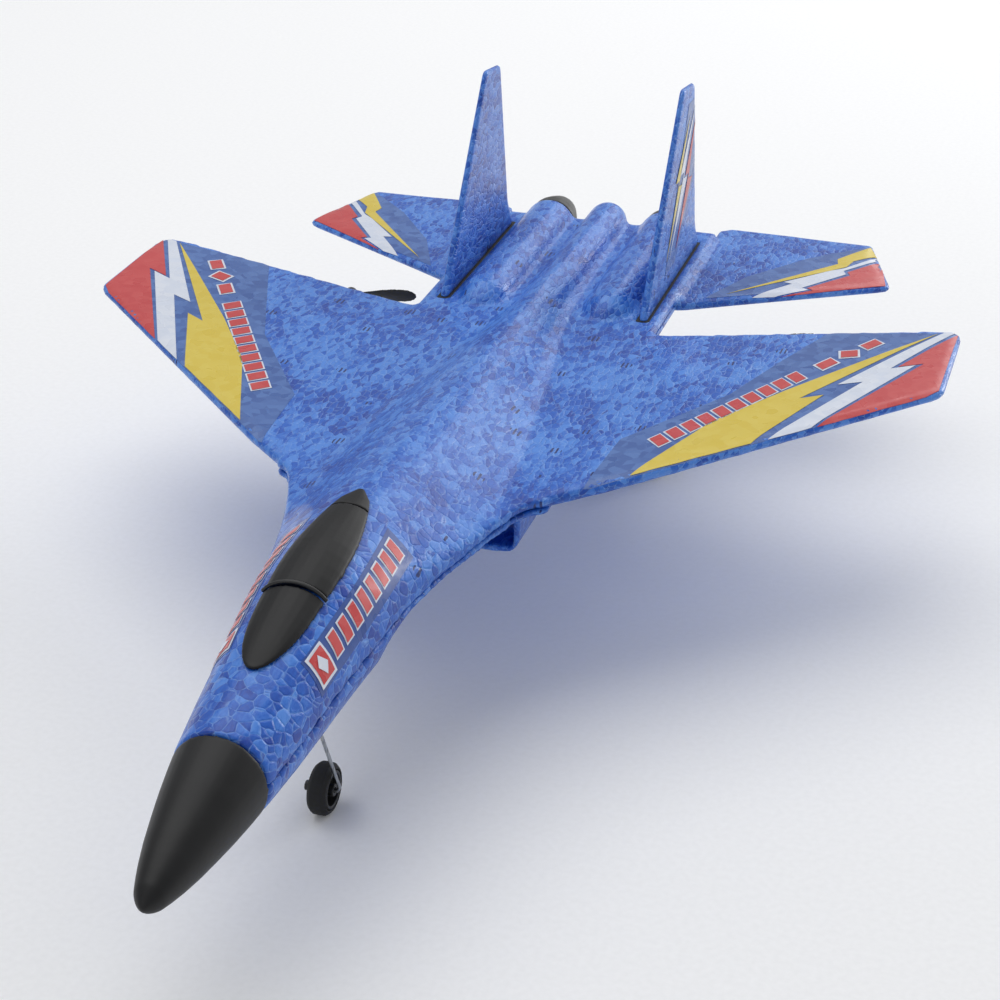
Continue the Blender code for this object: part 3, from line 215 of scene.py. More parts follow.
        # Steam vents leave groups of short dark dashes, one group in each cell of the vent spacing.
        vents = add_node(tree, "ShaderNodeTexVoronoi", {"Scale": 1 / self.vent_spacing, "Randomness": 0.5},
                         {"Vector": where})
        group = add_node(tree, "ShaderNodeMath", {"operation": "LESS_THAN", 1: self.vent_reach},
                         {0: vents.outputs["Distance"]})
        dashes = add_node(tree, "ShaderNodeTexWave",
                          {"Scale": WAVE_PITCH / self.dash_spacing, "Distortion": 1.2, "Detail Scale": 2.0},
                          {"Vector": where})
        dash = add_node(tree, "ShaderNodeMath", {"operation": "GREATER_THAN", 1: self.dash_share},
                        {0: dashes.outputs["Fac"]})
        vent = add_node(tree, "ShaderNodeMath", {"operation": "MULTIPLY"},
                        {0: group.outputs[0], 1: dash.outputs[0]})
        final = add_node(tree, "ShaderNodeMix", {"data_type": "RGBA", 7: linear(self.vent)},
                         {0: vent.outputs[0], 6: skin.outputs[2]})
        groove = add_node(tree, "ShaderNodeMapRange", {"From Min": 0.0, "From Max": 0.16},
                          {"Value": rim.outputs[0]})
        height = add_node(tree, "ShaderNodeMath", {"operation": "MULTIPLY_ADD", 1: 0.55},
                          {0: grey.outputs[0], 2: groove.outputs[0]})
        uneven = add_node(tree, "ShaderNodeMath", {"operation": "MULTIPLY_ADD", 1: 0.5},
                          {0: craze.outputs["Fac"], 2: height.outputs[0]})
        bump = add_node(tree, "ShaderNodeBump", {"Strength": 0.75, "Distance": self.depth},
                        {"Height": uneven.outputs[0]})
        rough = add_node(tree, "ShaderNodeMapRange", {"To Min": 0.3, "To Max": 0.5},
                         {"Value": grey.outputs[1]})
        close_material(tree, {"IOR": 1.4, "Coat Weight": 0.35, "Coat Roughness": 0.14},
                       {"Base Color": final.outputs[2], "Roughness": rough.outputs[0],
                        "Normal": bump.outputs[0]})
        return material


@dataclass(frozen=True)
class Plastic:
    """Injection or vacuum moulded plastic: an even colour, a fine eroded grain and faint rubbed patches."""

    name: str
    colour: str
    rubbed: str
    roughness: float = 0.42
    grain: float = 0.5 * MM
    depth: float = 0.04 * MM
    ior: float = 1.52
    rubbed_patch: float = 11 * MM

    def build(self) -> bpy.types.Material:
        """Builds the node material."""
        material, tree, where = new_material(self.name)
        grain = add_node(tree, "ShaderNodeTexNoise", {"Scale": 1 / self.grain, "Detail": 2.0},
                         {"Vector": where})
        rub = add_node(tree, "ShaderNodeTexNoise", {"Scale": 1 / self.rubbed_patch, "Detail": 4.0},
                       {"Vector": where})
        tone = add_node(tree, "ShaderNodeValToRGB", {"stops": [(0.40, self.colour), (0.72, self.rubbed)]},
                        {0: rub.outputs["Fac"]})
        rough = add_node(tree, "ShaderNodeMapRange",
                         {"To Min": self.roughness - 0.05, "To Max": self.roughness + 0.09},
                         {"Value": rub.outputs["Fac"]})
        bump = add_node(tree, "ShaderNodeBump", {"Strength": 0.3, "Distance": self.depth},
                        {"Height": grain.outputs["Fac"]})
        close_material(tree, {"IOR": self.ior},
                       {"Base Color": tone.outputs[0], "Roughness": rough.outputs[0],
                        "Normal": bump.outputs[0]})
        return material


@dataclass(frozen=True)
class Metal:
    """Drawn or turned metal: bright, with fine tool lines that stretch along one axis."""

    name: str
    colour: str
    worn: str
    stretch: tuple[float, float, float]
    roughness: float = 0.3
    tool_line: float = 0.35 * MM
    depth: float = 0.02 * MM

    def build(self) -> bpy.types.Material:
        """Builds the node material."""
        material, tree, where = new_material(self.name)
        drawn = add_node(tree, "ShaderNodeMapping", {"Scale": self.stretch}, {"Vector": where})
        lines = add_node(tree, "ShaderNodeTexNoise", {"Scale": 1 / self.tool_line, "Detail": 2.0},
                         {"Vector": drawn.outputs[0]})
        tone = add_node(tree, "ShaderNodeValToRGB", {"stops": [(0.35, self.worn), (0.65, self.colour)]},
                        {0: lines.outputs["Fac"]})
        rough = add_node(tree, "ShaderNodeMapRange",
                         {"To Min": self.roughness - 0.08, "To Max": self.roughness + 0.1},
                         {"Value": lines.outputs["Fac"]})
        bump = add_node(tree, "ShaderNodeBump", {"Strength": 0.2, "Distance": self.depth},
                        {"Height": lines.outputs["Fac"]})
        close_material(tree, {"Metallic": 1.0},
                       {"Base Color": tone.outputs[0], "Roughness": rough.outputs[0],
                        "Normal": bump.outputs[0]})
        return material


@dataclass(frozen=True)
class PrintedFilm:
    """Polyester film printed with solvent ink: thin, glossy, and softly dimpled by the beads under it."""

    name: str
    colour: str
    dimple: str
    ink: float = 0.35
    bead: float = 3.1 * MM
    squeeze: float = 5 * MM
    push: float = 2 * MM
    depth: float = 0.1 * MM

    def build(self) -> bpy.types.Material:
        """Builds the node material."""
        material, tree, where = new_material(self.name)
        push = add_node(tree, "ShaderNodeTexNoise", {"Scale": 1 / self.squeeze, "Detail": 2.0},
                        {"Vector": where})
        warped = add_node(tree, "ShaderNodeVectorMath", {"operation": "MULTIPLY_ADD", 1: (self.push,) * 3},
                          {0: push.outputs["Color"], 2: where}).outputs[0]
        beads = add_node(tree, "ShaderNodeTexVoronoi", {"Scale": 1 / self.bead}, {"Vector": warped})
        grey = add_node(tree, "ShaderNodeSeparateColor", links={0: beads.outputs["Color"]})
        share = add_node(tree, "ShaderNodeMath", {"operation": "MULTIPLY", 1: self.ink}, {0: grey.outputs[0]})
        tone = add_node(tree, "ShaderNodeMix",
                        {"data_type": "RGBA", 6: linear(self.colour), 7: linear(self.dimple)},
                        {0: share.outputs[0]})
        bump = add_node(tree, "ShaderNodeBump", {"Strength": 0.35, "Distance": self.depth},
                        {"Height": beads.outputs["Distance"]})
        rough = add_node(tree, "ShaderNodeMapRange", {"To Min": 0.24, "To Max": 0.42},
                         {"Value": grey.outputs[1]})
        close_material(tree, {"IOR": 1.5, "Coat Weight": 0.25, "Coat Roughness": 0.15},
                       {"Base Color": tone.outputs[2], "Roughness": rough.outputs[0],
                        "Normal": bump.outputs[0]})
        return material


@dataclass(frozen=True)
class WovenRod:
    """Pultruded carbon rod or etched board: a dark matrix with parallel fibres or copper lines in it."""

    name: str
    colour: str
    line: str
    spacing: float
    roughness: float = 0.35
    depth: float = 0.03 * MM

    def build(self) -> bpy.types.Material:
        """Builds the node material."""
        material, tree, where = new_material(self.name)
        wave = add_node(tree, "ShaderNodeTexWave",
                        {"Scale": WAVE_PITCH / self.spacing, "Distortion": 1.5, "Detail": 2.0},
                        {"Vector": where})
        tone = add_node(tree, "ShaderNodeValToRGB", {"stops": [(0.45, self.colour), (0.9, self.line)]},
                        {0: wave.outputs["Fac"]})
        bump = add_node(tree, "ShaderNodeBump", {"Strength": 0.2, "Distance": self.depth},
                        {"Height": wave.outputs["Fac"]})
        close_material(tree, {"IOR": 1.55, "Roughness": self.roughness},
                       {"Base Color": tone.outputs[0], "Normal": bump.outputs[0]})
        return material


class Look(Enum):
    """The finishes that this model uses."""

    FOAM = BeadFoam()
    # Vacuum-formed ABS has a soft satin sheen and no visible grain at arm's length.
    CONE = Plastic("satin_black_moulded_abs", "#0b0b0c", "#131315", 0.44, 0.5 * MM, 0.04 * MM, 1.42)
    # The canopy is the same sheet with a smoother face, so it mirrors the sky more.
    CANOPY = Plastic("black_canopy_sheet", "#080809", "#0f0f11", 0.4, 0.8 * MM, 0.04 * MM, 1.38)
    # The aft panel's sheet is a shade lighter than the windscreen's.
    AFT_CANOPY = Plastic("lighter_aft_canopy_sheet", "#0b0b0c", "#141416", 0.42, 0.8 * MM, 0.04 * MM, 1.38)
    NOZZLE = Plastic("grey_moulded_polystyrene", "#383836", "#4a4a47", 0.45)
    NYLON = Plastic("black_glass_filled_nylon", "#131313", "#242424", 0.38, 0.35 * MM)
    # Closed-cell tyre foam is dull and slightly pitted.
    TYRE = Plastic("black_tyre_rubber", "#0e0e0e", "#1b1b1b", 0.72, 0.3 * MM, 0.08 * MM)
    # Painted shade: the dark inside of each fin slot, laid as a thin black sheet.
    SLOT = Plastic("painted_slot_shade_sheet", "#060607", "#0d0d0f", 0.6)
    WIRE = Metal("drawn_spring_steel", "#b9bcc0", "#83868b", (1.0, 1.0, 0.08))
    CAN = Metal("nickel_plated_motor_can", "#b4b2ac", "#8b8983", (1.0, 0.08, 1.0), 0.26)
    CARBON = WovenRod("pultruded_carbon_rod", "#101012", "#2c2c30", 0.6 * MM)
    WRAP = PrintedFilm("battery_heat_shrink", "#20508f", "#3a6cab")
    BOARD = WovenRod("green_etched_circuit_board", "#0f4a2a", "#2f8a58", 0.9 * MM, 0.4)
    BLUE_FILM = PrintedFilm("blue_tinted_film", "#33599f", "#5c82c2", 0.7)
    DEEP_FILM = PrintedFilm("deep_blue_film", "#25468f", "#375da8", 0.6)
    YELLOW = PrintedFilm("yellow_printed_film", "#d9bf3c", "#e6d468")
    WHITE = PrintedFilm("white_printed_film", "#dfe4ee", "#c0cde4")
    RED = PrintedFilm("red_printed_film", "#c53a3c", "#d65c58")


MADE: dict[Look, bpy.types.Material] = {}


def finish_of(look: Look) -> bpy.types.Material:
    """Gives the material of a finish, building it the first time."""
    if look not in MADE:
        MADE[look] = look.value.build()
    return MADE[look]


def deselect() -> None:
    """Leaves object mode with nothing selected."""
    if bpy.context.mode != "OBJECT":
        bpy.ops.object.mode_set(mode="OBJECT")
    bpy.ops.object.select_all(action="DESELECT")


def pick(piece: bpy.types.Object) -> None:
    """Makes one object the only selected and active one."""
    deselect()
    piece.select_set(True)
    bpy.context.view_layer.objects.active = piece


def modify(piece: bpy.types.Object, kind: str, **settings: object) -> None:
    """Adds a modifier and applies it.

    Args:
        piece: Object to change.
        kind: Blender's name for the modifier type.
        **settings: Modifier settings by name.
    """
    pick(piece)
    modifier = piece.modifiers.new(kind.lower(), kind)
    for key, value in settings.items():
        setattr(modifier, key, value)
    bpy.ops.object.modifier_apply(modifier=modifier.name)


def copy_node(name: str, node: str) -> bpy.types.Object:
    """Copies a CAD node's mesh into a new merged piece.

    Args:
        name: Name of the new piece.
        node: CAD node to copy.

    Returns:
        The new piece, at the origin.
    """
    piece = bpy.data.objects.new(name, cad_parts[node].data.copy())
    piece.data.materials.clear()
    bpy.context.scene.collection.objects.link(piece)
    pick(piece)
    bpy.ops.object.mode_set(mode="EDIT")
    bpy.ops.mesh.select_all(action="SELECT")
    bpy.ops.mesh.remove_doubles(threshold=1e-6)
    bpy.ops.object.mode_set(mode="OBJECT")
    return piece


def dress(piece: bpy.types.Object, look: Look, body: str, slot: str, *nodes: str) -> bpy.types.Object:
    """Gives a finished piece its material, its body and the CAD nodes that it stands for.

    Args:
        piece: Finished mesh.
        look: Its finish.
        body: CAD body that it rides on.
        slot: Material slot of the record; not used.
        *nodes: CAD nodes that it replaces.

    Returns:
        The same piece.
    """
    piece.data.materials.clear()
    piece.data.materials.append(finish_of(look))
    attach(piece, body)
    if nodes:
        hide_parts(*nodes)
    LOG.info("%s: %d faces in %s", piece.name, len(piece.data.polygons), look.value.name)
    return piece


def soften(piece: bpy.types.Object, voxel: float, rounds: int) -> None:
    """Rounds a copied solid as a mould does: a voxel skin, then a few smoothing rounds.

    Args:
        piece: Closed mesh.
        voxel: Voxel size in metres.
        rounds: Smoothing rounds.
    """
    modify(piece, "REMESH", mode="VOXEL", voxel_size=voxel, use_smooth_shade=True)
    modify(piece, "SMOOTH", factor=0.5, iterations=rounds)
    pick(piece)
    bpy.ops.object.shade_smooth()


def moulded(
    name: str, node: str, look: Look, body: str, slot: str, voxel: float, rounds: int = 6
) -> bpy.types.Object:
    """Makes a rounded moulding that stands for one CAD node.

    Args:
        name: Name of the piece.
        node: CAD node that it copies and replaces.
        look: Its finish.
        body: CAD body that it rides on.
        slot: Material slot of the record.
        voxel: Voxel size in metres.
        rounds: Smoothing rounds.

    Returns:
        The finished piece.
    """
    piece = copy_node(name, node)
    soften(piece, voxel, rounds)
    return dress(piece, look, body, slot, node)


@dataclass
class Studio:
    """Camera, pale floor and soft lights."""

    place: tuple[float, float, float] = (0.202506, -0.576188, 0.372814)
    right: tuple[float, float, float] = (0.953207, 0.302318, -0.000536)
    up: tuple[float, float, float] = (-0.140999, 0.446137, 0.883788)
    back: tuple[float, float, float] = (0.267424, -0.842357, 0.467887)
    lens: float = 79.2
    floor_size: float = 8.0
    aim: tuple[float, float, float] = (0.0, 0.0, 0.06)
    sky: str = "#f4f6fa"
    sky_strength: float = 0.46

    def set_camera(self) -> None:
        """Places the camera that the scene is seen from."""
        data = bpy.data.cameras.new("camera")
        data.lens, data.sensor_width, data.clip_start = self.lens, 36.0, 0.01
        camera = bpy.data.objects.new("camera", data)
        bpy.context.scene.collection.objects.link(camera)
        turn = Matrix((self.right, self.up, self.back)).transposed().to_4x4()
        camera.matrix_world = Matrix.Translation(self.place) @ turn
        bpy.context.scene.camera = camera

    def lay_floor(self) -> None:
        """Lays the plain floor."""
        deselect()
        bpy.ops.mesh.primitive_plane_add(size=self.floor_size, location=(0, 0, 0))
        floor = bpy.context.object
        floor.name = "floor"
        material, tree, where = new_material("matt_white_backdrop_paper")
        fibre = add_node(tree, "ShaderNodeTexNoise", {"Scale": 1 / (2 * MM), "Detail": 3.0},
                         {"Vector": where})
        tone = add_node(tree, "ShaderNodeValToRGB", {"stops": [(0.3, "#f6f6f6"), (0.7, "#fafafa")]},
                        {0: fibre.outputs["Fac"]})
        close_material(tree, {"Roughness": 0.9}, {"Base Color": tone.outputs[0]})
        floor.data.materials.append(material)

    def add_light(self, name: str, place: Sequence[float], size: float, power: float) -> None:
        """Adds a square white area light aimed at the model's middle.

        Args:
            name: Name of the light.
            place: Its position in metres.
            size: Side in metres.
            power: Power in watts.
        """
        data = bpy.data.lights.new(name, "AREA")
        data.size, data.energy = size, power
        light = bpy.data.objects.new(name, data)
        bpy.context.scene.collection.objects.link(light)
        aim = Vector(self.aim) - Vector(place)
        light.matrix_world = Matrix.Translation(place) @ aim.to_track_quat("-Z", "Y").to_matrix().to_4x4()

    def build(self) -> None:
        """Makes the whole set."""
        self.set_camera()
        self.lay_floor()
        self.add_light("overhead", (-0.5, 0.35, 2.0), 2.2, 22)
        self.add_light("back", (0.5, 1.8, 1.1), 1.3, 8)
        self.add_light("rim", (1.05, 1.5, 0.42), 0.6, 8)
        self.add_light("front_fill", (-0.6, -1.5, 0.8), 0.9, 1.5)
        world = bpy.data.worlds.new("studio")
        bpy.context.scene.world = world
        world.use_nodes = True
        background = world.node_tree.nodes["Background"]
        background.inputs["Color"].default_value = linear(self.sky)
        background.inputs["Strength"].default_value = self.sky_strength
        bpy.context.scene.view_settings.view_transform = "Standard"


@dataclass
class Airframe:
    """Foam skins: body halves, wings, tailplanes, fins and engine tunnels."""

    body: str = "airframe"
    voxel: float = 0.9 * MM
    thin_voxel: float = 0.7 * MM
    keel_voxel: float = 1.0 * MM
    root_face: float = 0.4 * MM
    root_reach: float = 1.8 * MM
    cut_edge: float = math.radians(55)
    # Size, height and edge of the black tray of painted shade in each fin slot.
    shade_tray: tuple[float, float, float] = (1.9 * MM, 1.6 * MM, 0.7 * MM)
    shade_tray_height: float = 0.5 * MM
    shade_tray_edge: float = 0.25 * MM
    skins: dict[str, bpy.types.Object] = field(default_factory=dict)

    def push_root(self, piece: bpy.types.Object, sign: float) -> None:
        """Moves a panel's root face into the body, so that the joint closes as on one moulding.

        Args:
            piece: Wing or tailplane copy.
            sign: +1 on the left side and -1 on the right.
        """
        root = min(sign * v.co.x for v in piece.data.vertices)
        for vertex in piece.data.vertices:
            if sign * vertex.co.x < root + self.root_face:
                vertex.co.x -= sign * self.root_reach

    def upper_shell(self) -> bpy.types.Object:
        """Moulds the body's top, the wings and the tailplanes as one flush shell."""
        shell = copy_node("upper_shell", "upper_body")
        panels = []
        for side, sign in SIDES:
            for part in ("wing", "tailplane"):
                panel = copy_node(f"{side}_{part}_blank", f"{side}_{part}")
                self.push_root(panel, sign)
                panels.append(panel)
        pick(shell)
        for panel in panels:
            panel.select_set(True)
        bpy.ops.object.join()
        soften(shell, self.voxel, 5)
        return shell

    def trim(self, shell: bpy.types.Object, node: str, cuts: Sequence[tuple[Vector, Vector]]) -> None:
        """Cuts one panel out of the shell and closes its cut faces.

        Args:
            shell: Whole upper shell.
            node: CAD node that the panel stands for.
            cuts: Point and normal of each cutting plane; the side that the normal points to goes.
        """
        piece = bpy.data.objects.new(node + "_skin", shell.data.copy())
        bpy.context.scene.collection.objects.link(piece)
        pick(piece)
        bpy.ops.object.mode_set(mode="EDIT")
        for point, normal in cuts:
            bpy.ops.mesh.select_all(action="SELECT")
            bpy.ops.mesh.bisect(plane_co=point, plane_no=normal, use_fill=True, clear_outer=True)
        bpy.ops.object.mode_set(mode="OBJECT")
        bpy.ops.object.shade_smooth_by_angle(angle=self.cut_edge)
        self.skins[node] = dress(piece, Look.FOAM, self.body, "foam", node)

    def paint_slot_shade(self, side: str) -> None:
        """Paints the shade inside the slot round a fin's foot as a thin black tray.

        Args:
            side: "left" or "right".
        """
        low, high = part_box(f"{side}_fin")
        middle = (low + high) / 2
        deselect()
        bpy.ops.mesh.primitive_cube_add(size=1.0, location=(middle.x, middle.y, low.z + self.shade_tray_height))
        tray = bpy.context.object
        tray.name = f"{side}_fin_slot_shade_tray"
        wider, longer, thick = self.shade_tray
        tray.scale = (high.x - low.x + wider, high.y - low.y + longer, thick)
        bpy.ops.object.transform_apply(location=True, rotation=True, scale=True)
        modify(tray, "BEVEL", width=self.shade_tray_edge, segments=2)
        dress(tray, Look.SLOT, self.body, "black_plastic")

    def build(self) -> None:
        """Builds every foam skin."""
        shell = self.upper_shell()
        root = (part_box("left_wing")[0].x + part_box("upper_body")[1].x) / 2
        split = Vector((0, (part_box("left_wing")[1].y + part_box("left_tailplane")[0].y) / 2, 0))
        aft = Vector((0, 1, 0))
        inward = {sign: (Vector((sign * root, 0, 0)), Vector((-sign, 0, 0))) for _, sign in SIDES}
        outward = [(point, -normal) for point, normal in inward.values()]
        self.trim(shell, "upper_body", outward)
        for side, sign in SIDES:
            self.trim(shell, f"{side}_wing", [inward[sign], (split, aft)])
            self.trim(shell, f"{side}_tailplane", [inward[sign], (split, -aft)])
            for part in ("fin", "nacelle"):
                node = f"{side}_{part}"
                self.skins[node] = moulded(node + "_skin", node, Look.FOAM, self.body, "foam",
                                           self.thin_voxel, 4)
            self.paint_slot_shade(side)
        bpy.data.objects.remove(shell)
        node = "lower_body"
        self.skins[node] = moulded(node + "_skin", node, Look.FOAM, self.body, "foam", self.keel_voxel)


@dataclass
class NoseAndCanopy:
    """Black nose cone, the canopy's panels and the bow between them."""

    body: str = "airframe"
    cone_voxel: float = 0.55 * MM
    windscreen_voxel: float = 0.32 * MM
    canopy_voxel: float = 0.36 * MM
    tail_voxel: float = 0.3 * MM
    bow_voxel: float = 0.18 * MM

    def build(self) -> None:
        """Builds the cone and the canopy."""
        for name, node, look, slot, voxel, rounds in (
            ("nose_cone_shell", "nose_cone", Look.CONE, "cone_black", self.cone_voxel, 10),
            ("windscreen_panel", "windscreen", Look.CANOPY, "canopy_black", self.windscreen_voxel, 6),
            ("canopy_panel", "canopy", Look.AFT_CANOPY, "canopy_black", self.canopy_voxel, 6),
            ("canopy_tail_panel", "canopy_fairing", Look.CANOPY, "canopy_black", self.tail_voxel, 5),
            ("canopy_bow_hoop", "canopy_bow", Look.NYLON, "black_plastic", self.bow_voxel, 3),
        ):
            moulded(name, node, look, self.body, slot, voxel, rounds)


@dataclass
class Drives:
    """Nozzles, motors, mounts, shafts and propellers."""

    body: str = "airframe"
    nozzle_voxel: float = 0.4 * MM
    bracket_voxel: float = 0.32 * MM
    can_voxel: float = 0.25 * MM
    blade_voxel: float = 0.22 * MM

    def build(self) -> None:
        """Builds both sides."""
        for side, _ in SIDES:
            for name, node, look, body, slot, voxel, rounds in (
                ("nozzle_ring", "nozzle", Look.NOZZLE, self.body, "nozzle_grey", self.nozzle_voxel, 6),
                ("motor_bracket", "motor_mount", Look.NYLON, self.body, "black_plastic",
                 self.bracket_voxel, 3),
                ("motor_can", "motor", Look.CAN, self.body, "motor_can", self.can_voxel, 3),
                ("propeller_blades", "propeller", Look.NYLON, f"{side}_propeller_drive", "black_plastic",
                 self.blade_voxel, 3),
            ):
                moulded(f"{side}_{name}", f"{side}_{node}", look, body, slot, voxel, rounds)
            shade(f"{side}_motor_shaft", Look.WIRE)


@dataclass
class Undercarriage:
    """Wheels, tyres, wire legs and their blocks."""

    body: str = "airframe"
    hub_voxel: float = 0.2 * MM
    tyre_voxel: float = 0.26 * MM
    wire_voxel: float = 0.18 * MM
    collar_voxel: float = 0.12 * MM
    block_voxel: float = 0.25 * MM

    def build(self) -> None:
        """Builds the nose and main gear."""
        for place in ("nose", "left", "right"):
            turning = f"{place}_wheel_assembly"
            for name, node, look, body, slot, voxel, rounds in (
                ("hub", "wheel", Look.NYLON, turning, "black_plastic", self.hub_voxel, 2),
                ("tyre_ring", "tyre", Look.TYRE, turning, "tyre", self.tyre_voxel, 4),
                ("leg_wire", "gear_leg", Look.WIRE, self.body, "steel", self.wire_voxel, 4),
                ("end_collar", "axle_collar", Look.NYLON, self.body, "black_plastic", self.collar_voxel, 2),
                ("leg_block", "gear_block", Look.NYLON, self.body, "black_plastic", self.block_voxel, 3),
            ):
                moulded(f"{place}_{name}", f"{place}_{node}", look, body, slot, voxel, rounds)


def shade(node: str, look: Look) -> None:
    """Gives a carried-over CAD node its procedural material."""
    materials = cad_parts[node].data.materials
    materials.clear()
    materials.append(finish_of(look))


@dataclass
class PowerBay:
    """Battery box, door, cell, receiver board, switch and the spar behind them."""

    body: str = "airframe"
    box_voxel: float = 0.3 * MM
    door_voxel: float = 0.25 * MM
    switch_voxel: float = 0.16 * MM

    def build(self) -> None:
        """Dresses the power parts."""
        for name, node, body, voxel in (
            ("battery_box_shell", "battery_box", self.body, self.box_voxel),
            ("battery_door_panel", "battery_door", "battery_door", self.door_voxel),
            ("switch_body", "power_switch", self.body, self.switch_voxel),
        ):
            moulded(name, node, Look.NYLON, body, "black_plastic", voxel, 2)
        for node, look in (
            ("battery", Look.WRAP),
            ("receiver_board", Look.BOARD),
            ("door_hinge_pin", Look.WIRE),
            ("switch_slider", Look.NYLON),
            ("wing_spar", Look.CARBON),
        ):
            shade(node, look)


@dataclass(frozen=True)
class Sheet:
    """Flat plane that film outlines are drawn in before they are pressed onto a skin."""

    across: Vector
    along: Vector
    towards: Vector
    start: float = 0.2

    def point(self, u: float, v: float) -> Vector:
        """Gives the place of a sheet point (millimetres) before it is pressed down."""
        return self.across * (u * MM) + self.along * (v * MM) - self.towards * self.start


@dataclass
class Markings:
    """Printed film on the wings, tailplanes, fins and fuselage: plain bolts, blocks and bars."""

    airframe: Airframe
    grid: float = 2.0
    film: float = 0.06 * MM
    film_lift: float = 0.10 * MM
    ink_lift: float = 0.24 * MM
    bar_lift: float = 0.38 * MM
    gem_lift: float = 0.52 * MM
    weld: float = 0.02 * MM
    fold: float = math.radians(40)
    lean: float = 0.16
    flank_slope: Point = (0.61, 0.79)

    def outline(self, points: Outline, sheet: Sheet) -> bpy.types.Object:
        """Cuts one piece of film and scores it into small faces.

        Args:
            points: Corners in millimetres, in order.
            sheet: Plane that they lie in.

        Returns:
            A flat mesh in the sheet's plane.
        """
        deselect()
        bpy.ops.mesh.primitive_circle_add(vertices=len(points), radius=MM, fill_type="NGON",
                                          location=(0, 0, 0))
        piece = bpy.context.object
        for vertex, (u, v) in zip(piece.data.vertices, points):
            vertex.co = sheet.point(u, v)
        bpy.ops.object.mode_set(mode="EDIT")
        bpy.ops.mesh.select_all(action="SELECT")
        bpy.ops.mesh.quads_convert_to_tris(quad_method="BEAUTY", ngon_method="BEAUTY")
        for axis, values in ((sheet.across, [p[0] for p in points]), (sheet.along, [p[1] for p in points])):
            step = math.ceil(min(values) / self.grid) * self.grid
            while step < max(values):
                bpy.ops.mesh.select_all(action="SELECT")
                bpy.ops.mesh.bisect(plane_co=axis * (step * MM), plane_no=axis)
                step += self.grid
        bpy.ops.object.mode_set(mode="OBJECT")
        return piece

    def press(
        self, name: str, look: Look, outlines: Iterable[Outline], sheet: Sheet, skin: str, lift: float
    ) -> None:
        """Presses film onto a skin and gives it its thickness.

        Args:
            name: Name of the piece.
            look: Its finish.
            outlines: One or more closed outlines.
            sheet: Plane that they are drawn in.
            skin: CAD node whose skin carries the film.
            lift: Height above the skin in metres.
        """
        flats = [self.outline(points, sheet) for points in outlines]
        deselect()
        for flat in flats:
            flat.select_set(True)
        bpy.context.view_layer.objects.active = flats[0]
        if len(flats) > 1:
            bpy.ops.object.join()
        piece = flats[0]
        piece.name = name
        pick(piece)
        bpy.ops.object.transform_apply(location=True, rotation=True, scale=True)
        target = self.airframe.skins[skin].data
        tree = BVHTree.FromPolygons([v.co for v in target.vertices], [p.vertices for p in target.polygons])
        lost = []
        for vertex in piece.data.vertices:
            hit = tree.ray_cast(vertex.co, sheet.towards)[0]
            if hit is None:
                lost.append(vertex.index)
            else:
                vertex.co = hit - sheet.towards * lift
        bpy.ops.object.mode_set(mode="EDIT")
        bpy.ops.mesh.select_all(action="DESELECT")
        bpy.ops.object.mode_set(mode="OBJECT")
        for index in lost:
            piece.data.vertices[index].select = True
        bpy.ops.object.mode_set(mode="EDIT")
        bpy.ops.mesh.delete(type="VERT")
        bpy.ops.mesh.select_all(action="SELECT")
        bpy.ops.mesh.remove_doubles(threshold=self.weld)
        bpy.ops.object.mode_set(mode="OBJECT")
        if piece.data.polygons[0].normal.dot(sheet.towards) > 0:
            piece.data.flip_normals()
        modify(piece, "SOLIDIFY", thickness=self.film, offset=-1.0)
        bpy.ops.object.shade_smooth_by_angle(angle=self.fold)
        dress(piece, look, "airframe", "foam")

    def slanted(
        self, start: Point, end: Point, count: int, width: float, height: float, grow: float = 0.0
    ) -> list[Outline]:
        """Lays a row of slanted bars along a line.

        Args:
            start: Middle of the first bar, in millimetres.
            end: Middle of the last bar.
            count: Number of bars.
            width: Width of a bar along the line.
            height: Height of a bar across the line.
            grow: Extra border on every side.

        Returns:
            One outline for each bar.
        """
        run = Vector((end[0] - start[0], end[1] - start[1]))
        along = run.normalized()
        cross = Vector((-along.y, along.x))
        rows = []
        for i in range(count):
            middle = Vector(start) + run * (i / (count - 1))
            half, tall, lean = width / 2 + grow, height / 2 + grow, height * self.lean
            rows.append([tuple(middle + along * (a * half + b * lean) + cross * (b * tall))
                         for a, b in ((-1, -1), (1, -1), (1, 1), (-1, 1))])
        return rows

    @staticmethod
    def diamond(middle: Point, along: Point, length: float, width: float) -> Outline:
        """Draws a plain diamond on a line.

        Args:
            middle: Its centre in millimetres.
            along: Direction of its long axis.
            length: Length in millimetres.
            width: Width in millimetres.

        Returns:
            Its four corners.
        """
        run = Vector(along).normalized() * (length / 2)
        cross = Vector((-run.y, run.x)).normalized() * (width / 2)
        centre = Vector(middle)
        return [tuple(centre + run), tuple(centre + cross), tuple(centre - run), tuple(centre - cross)]

    def wing(self, side: str, sign: float) -> None:
        """Marks one wing."""
        sheet = Sheet(Vector((sign, 0, 0)), Vector((0, 1, 0)), Vector((0, 0, -1)))
        skin = f"{side}_wing"
        ground = [(51.5, -19), (53, -18.2), (141, 57.5), (144.4, 62), (144.6, 110), (102, 107), (80, 51),
                  (54, 14)]
        yellow = [(63, -9), (94, 17.5), (109.5, 54), (102.5, 50.5), (138, 109), (97, 56), (79, 30)]
        white = [(98.5, 21), (110, 31), (134.5, 80.5), (127, 77), (143.5, 110.5), (139.8, 110),
                 (112.5, 62.5), (120, 65.5)]
        red = [(111.5, 32), (141, 57.5), (144.4, 62), (144.6, 109), (129.2, 78.6), (137, 82)]
        for label, look, points, lift in (
            ("blue_film", Look.BLUE_FILM, ground, self.film_lift),
            ("yellow_bolt", Look.YELLOW, yellow, self.ink_lift),
            ("white_bolt", Look.WHITE, white, self.ink_lift),
            ("red_tip", Look.RED, red, self.ink_lift),
        ):
            self.press(f"{side}_wing_{label}", look, [points], sheet, skin, lift)
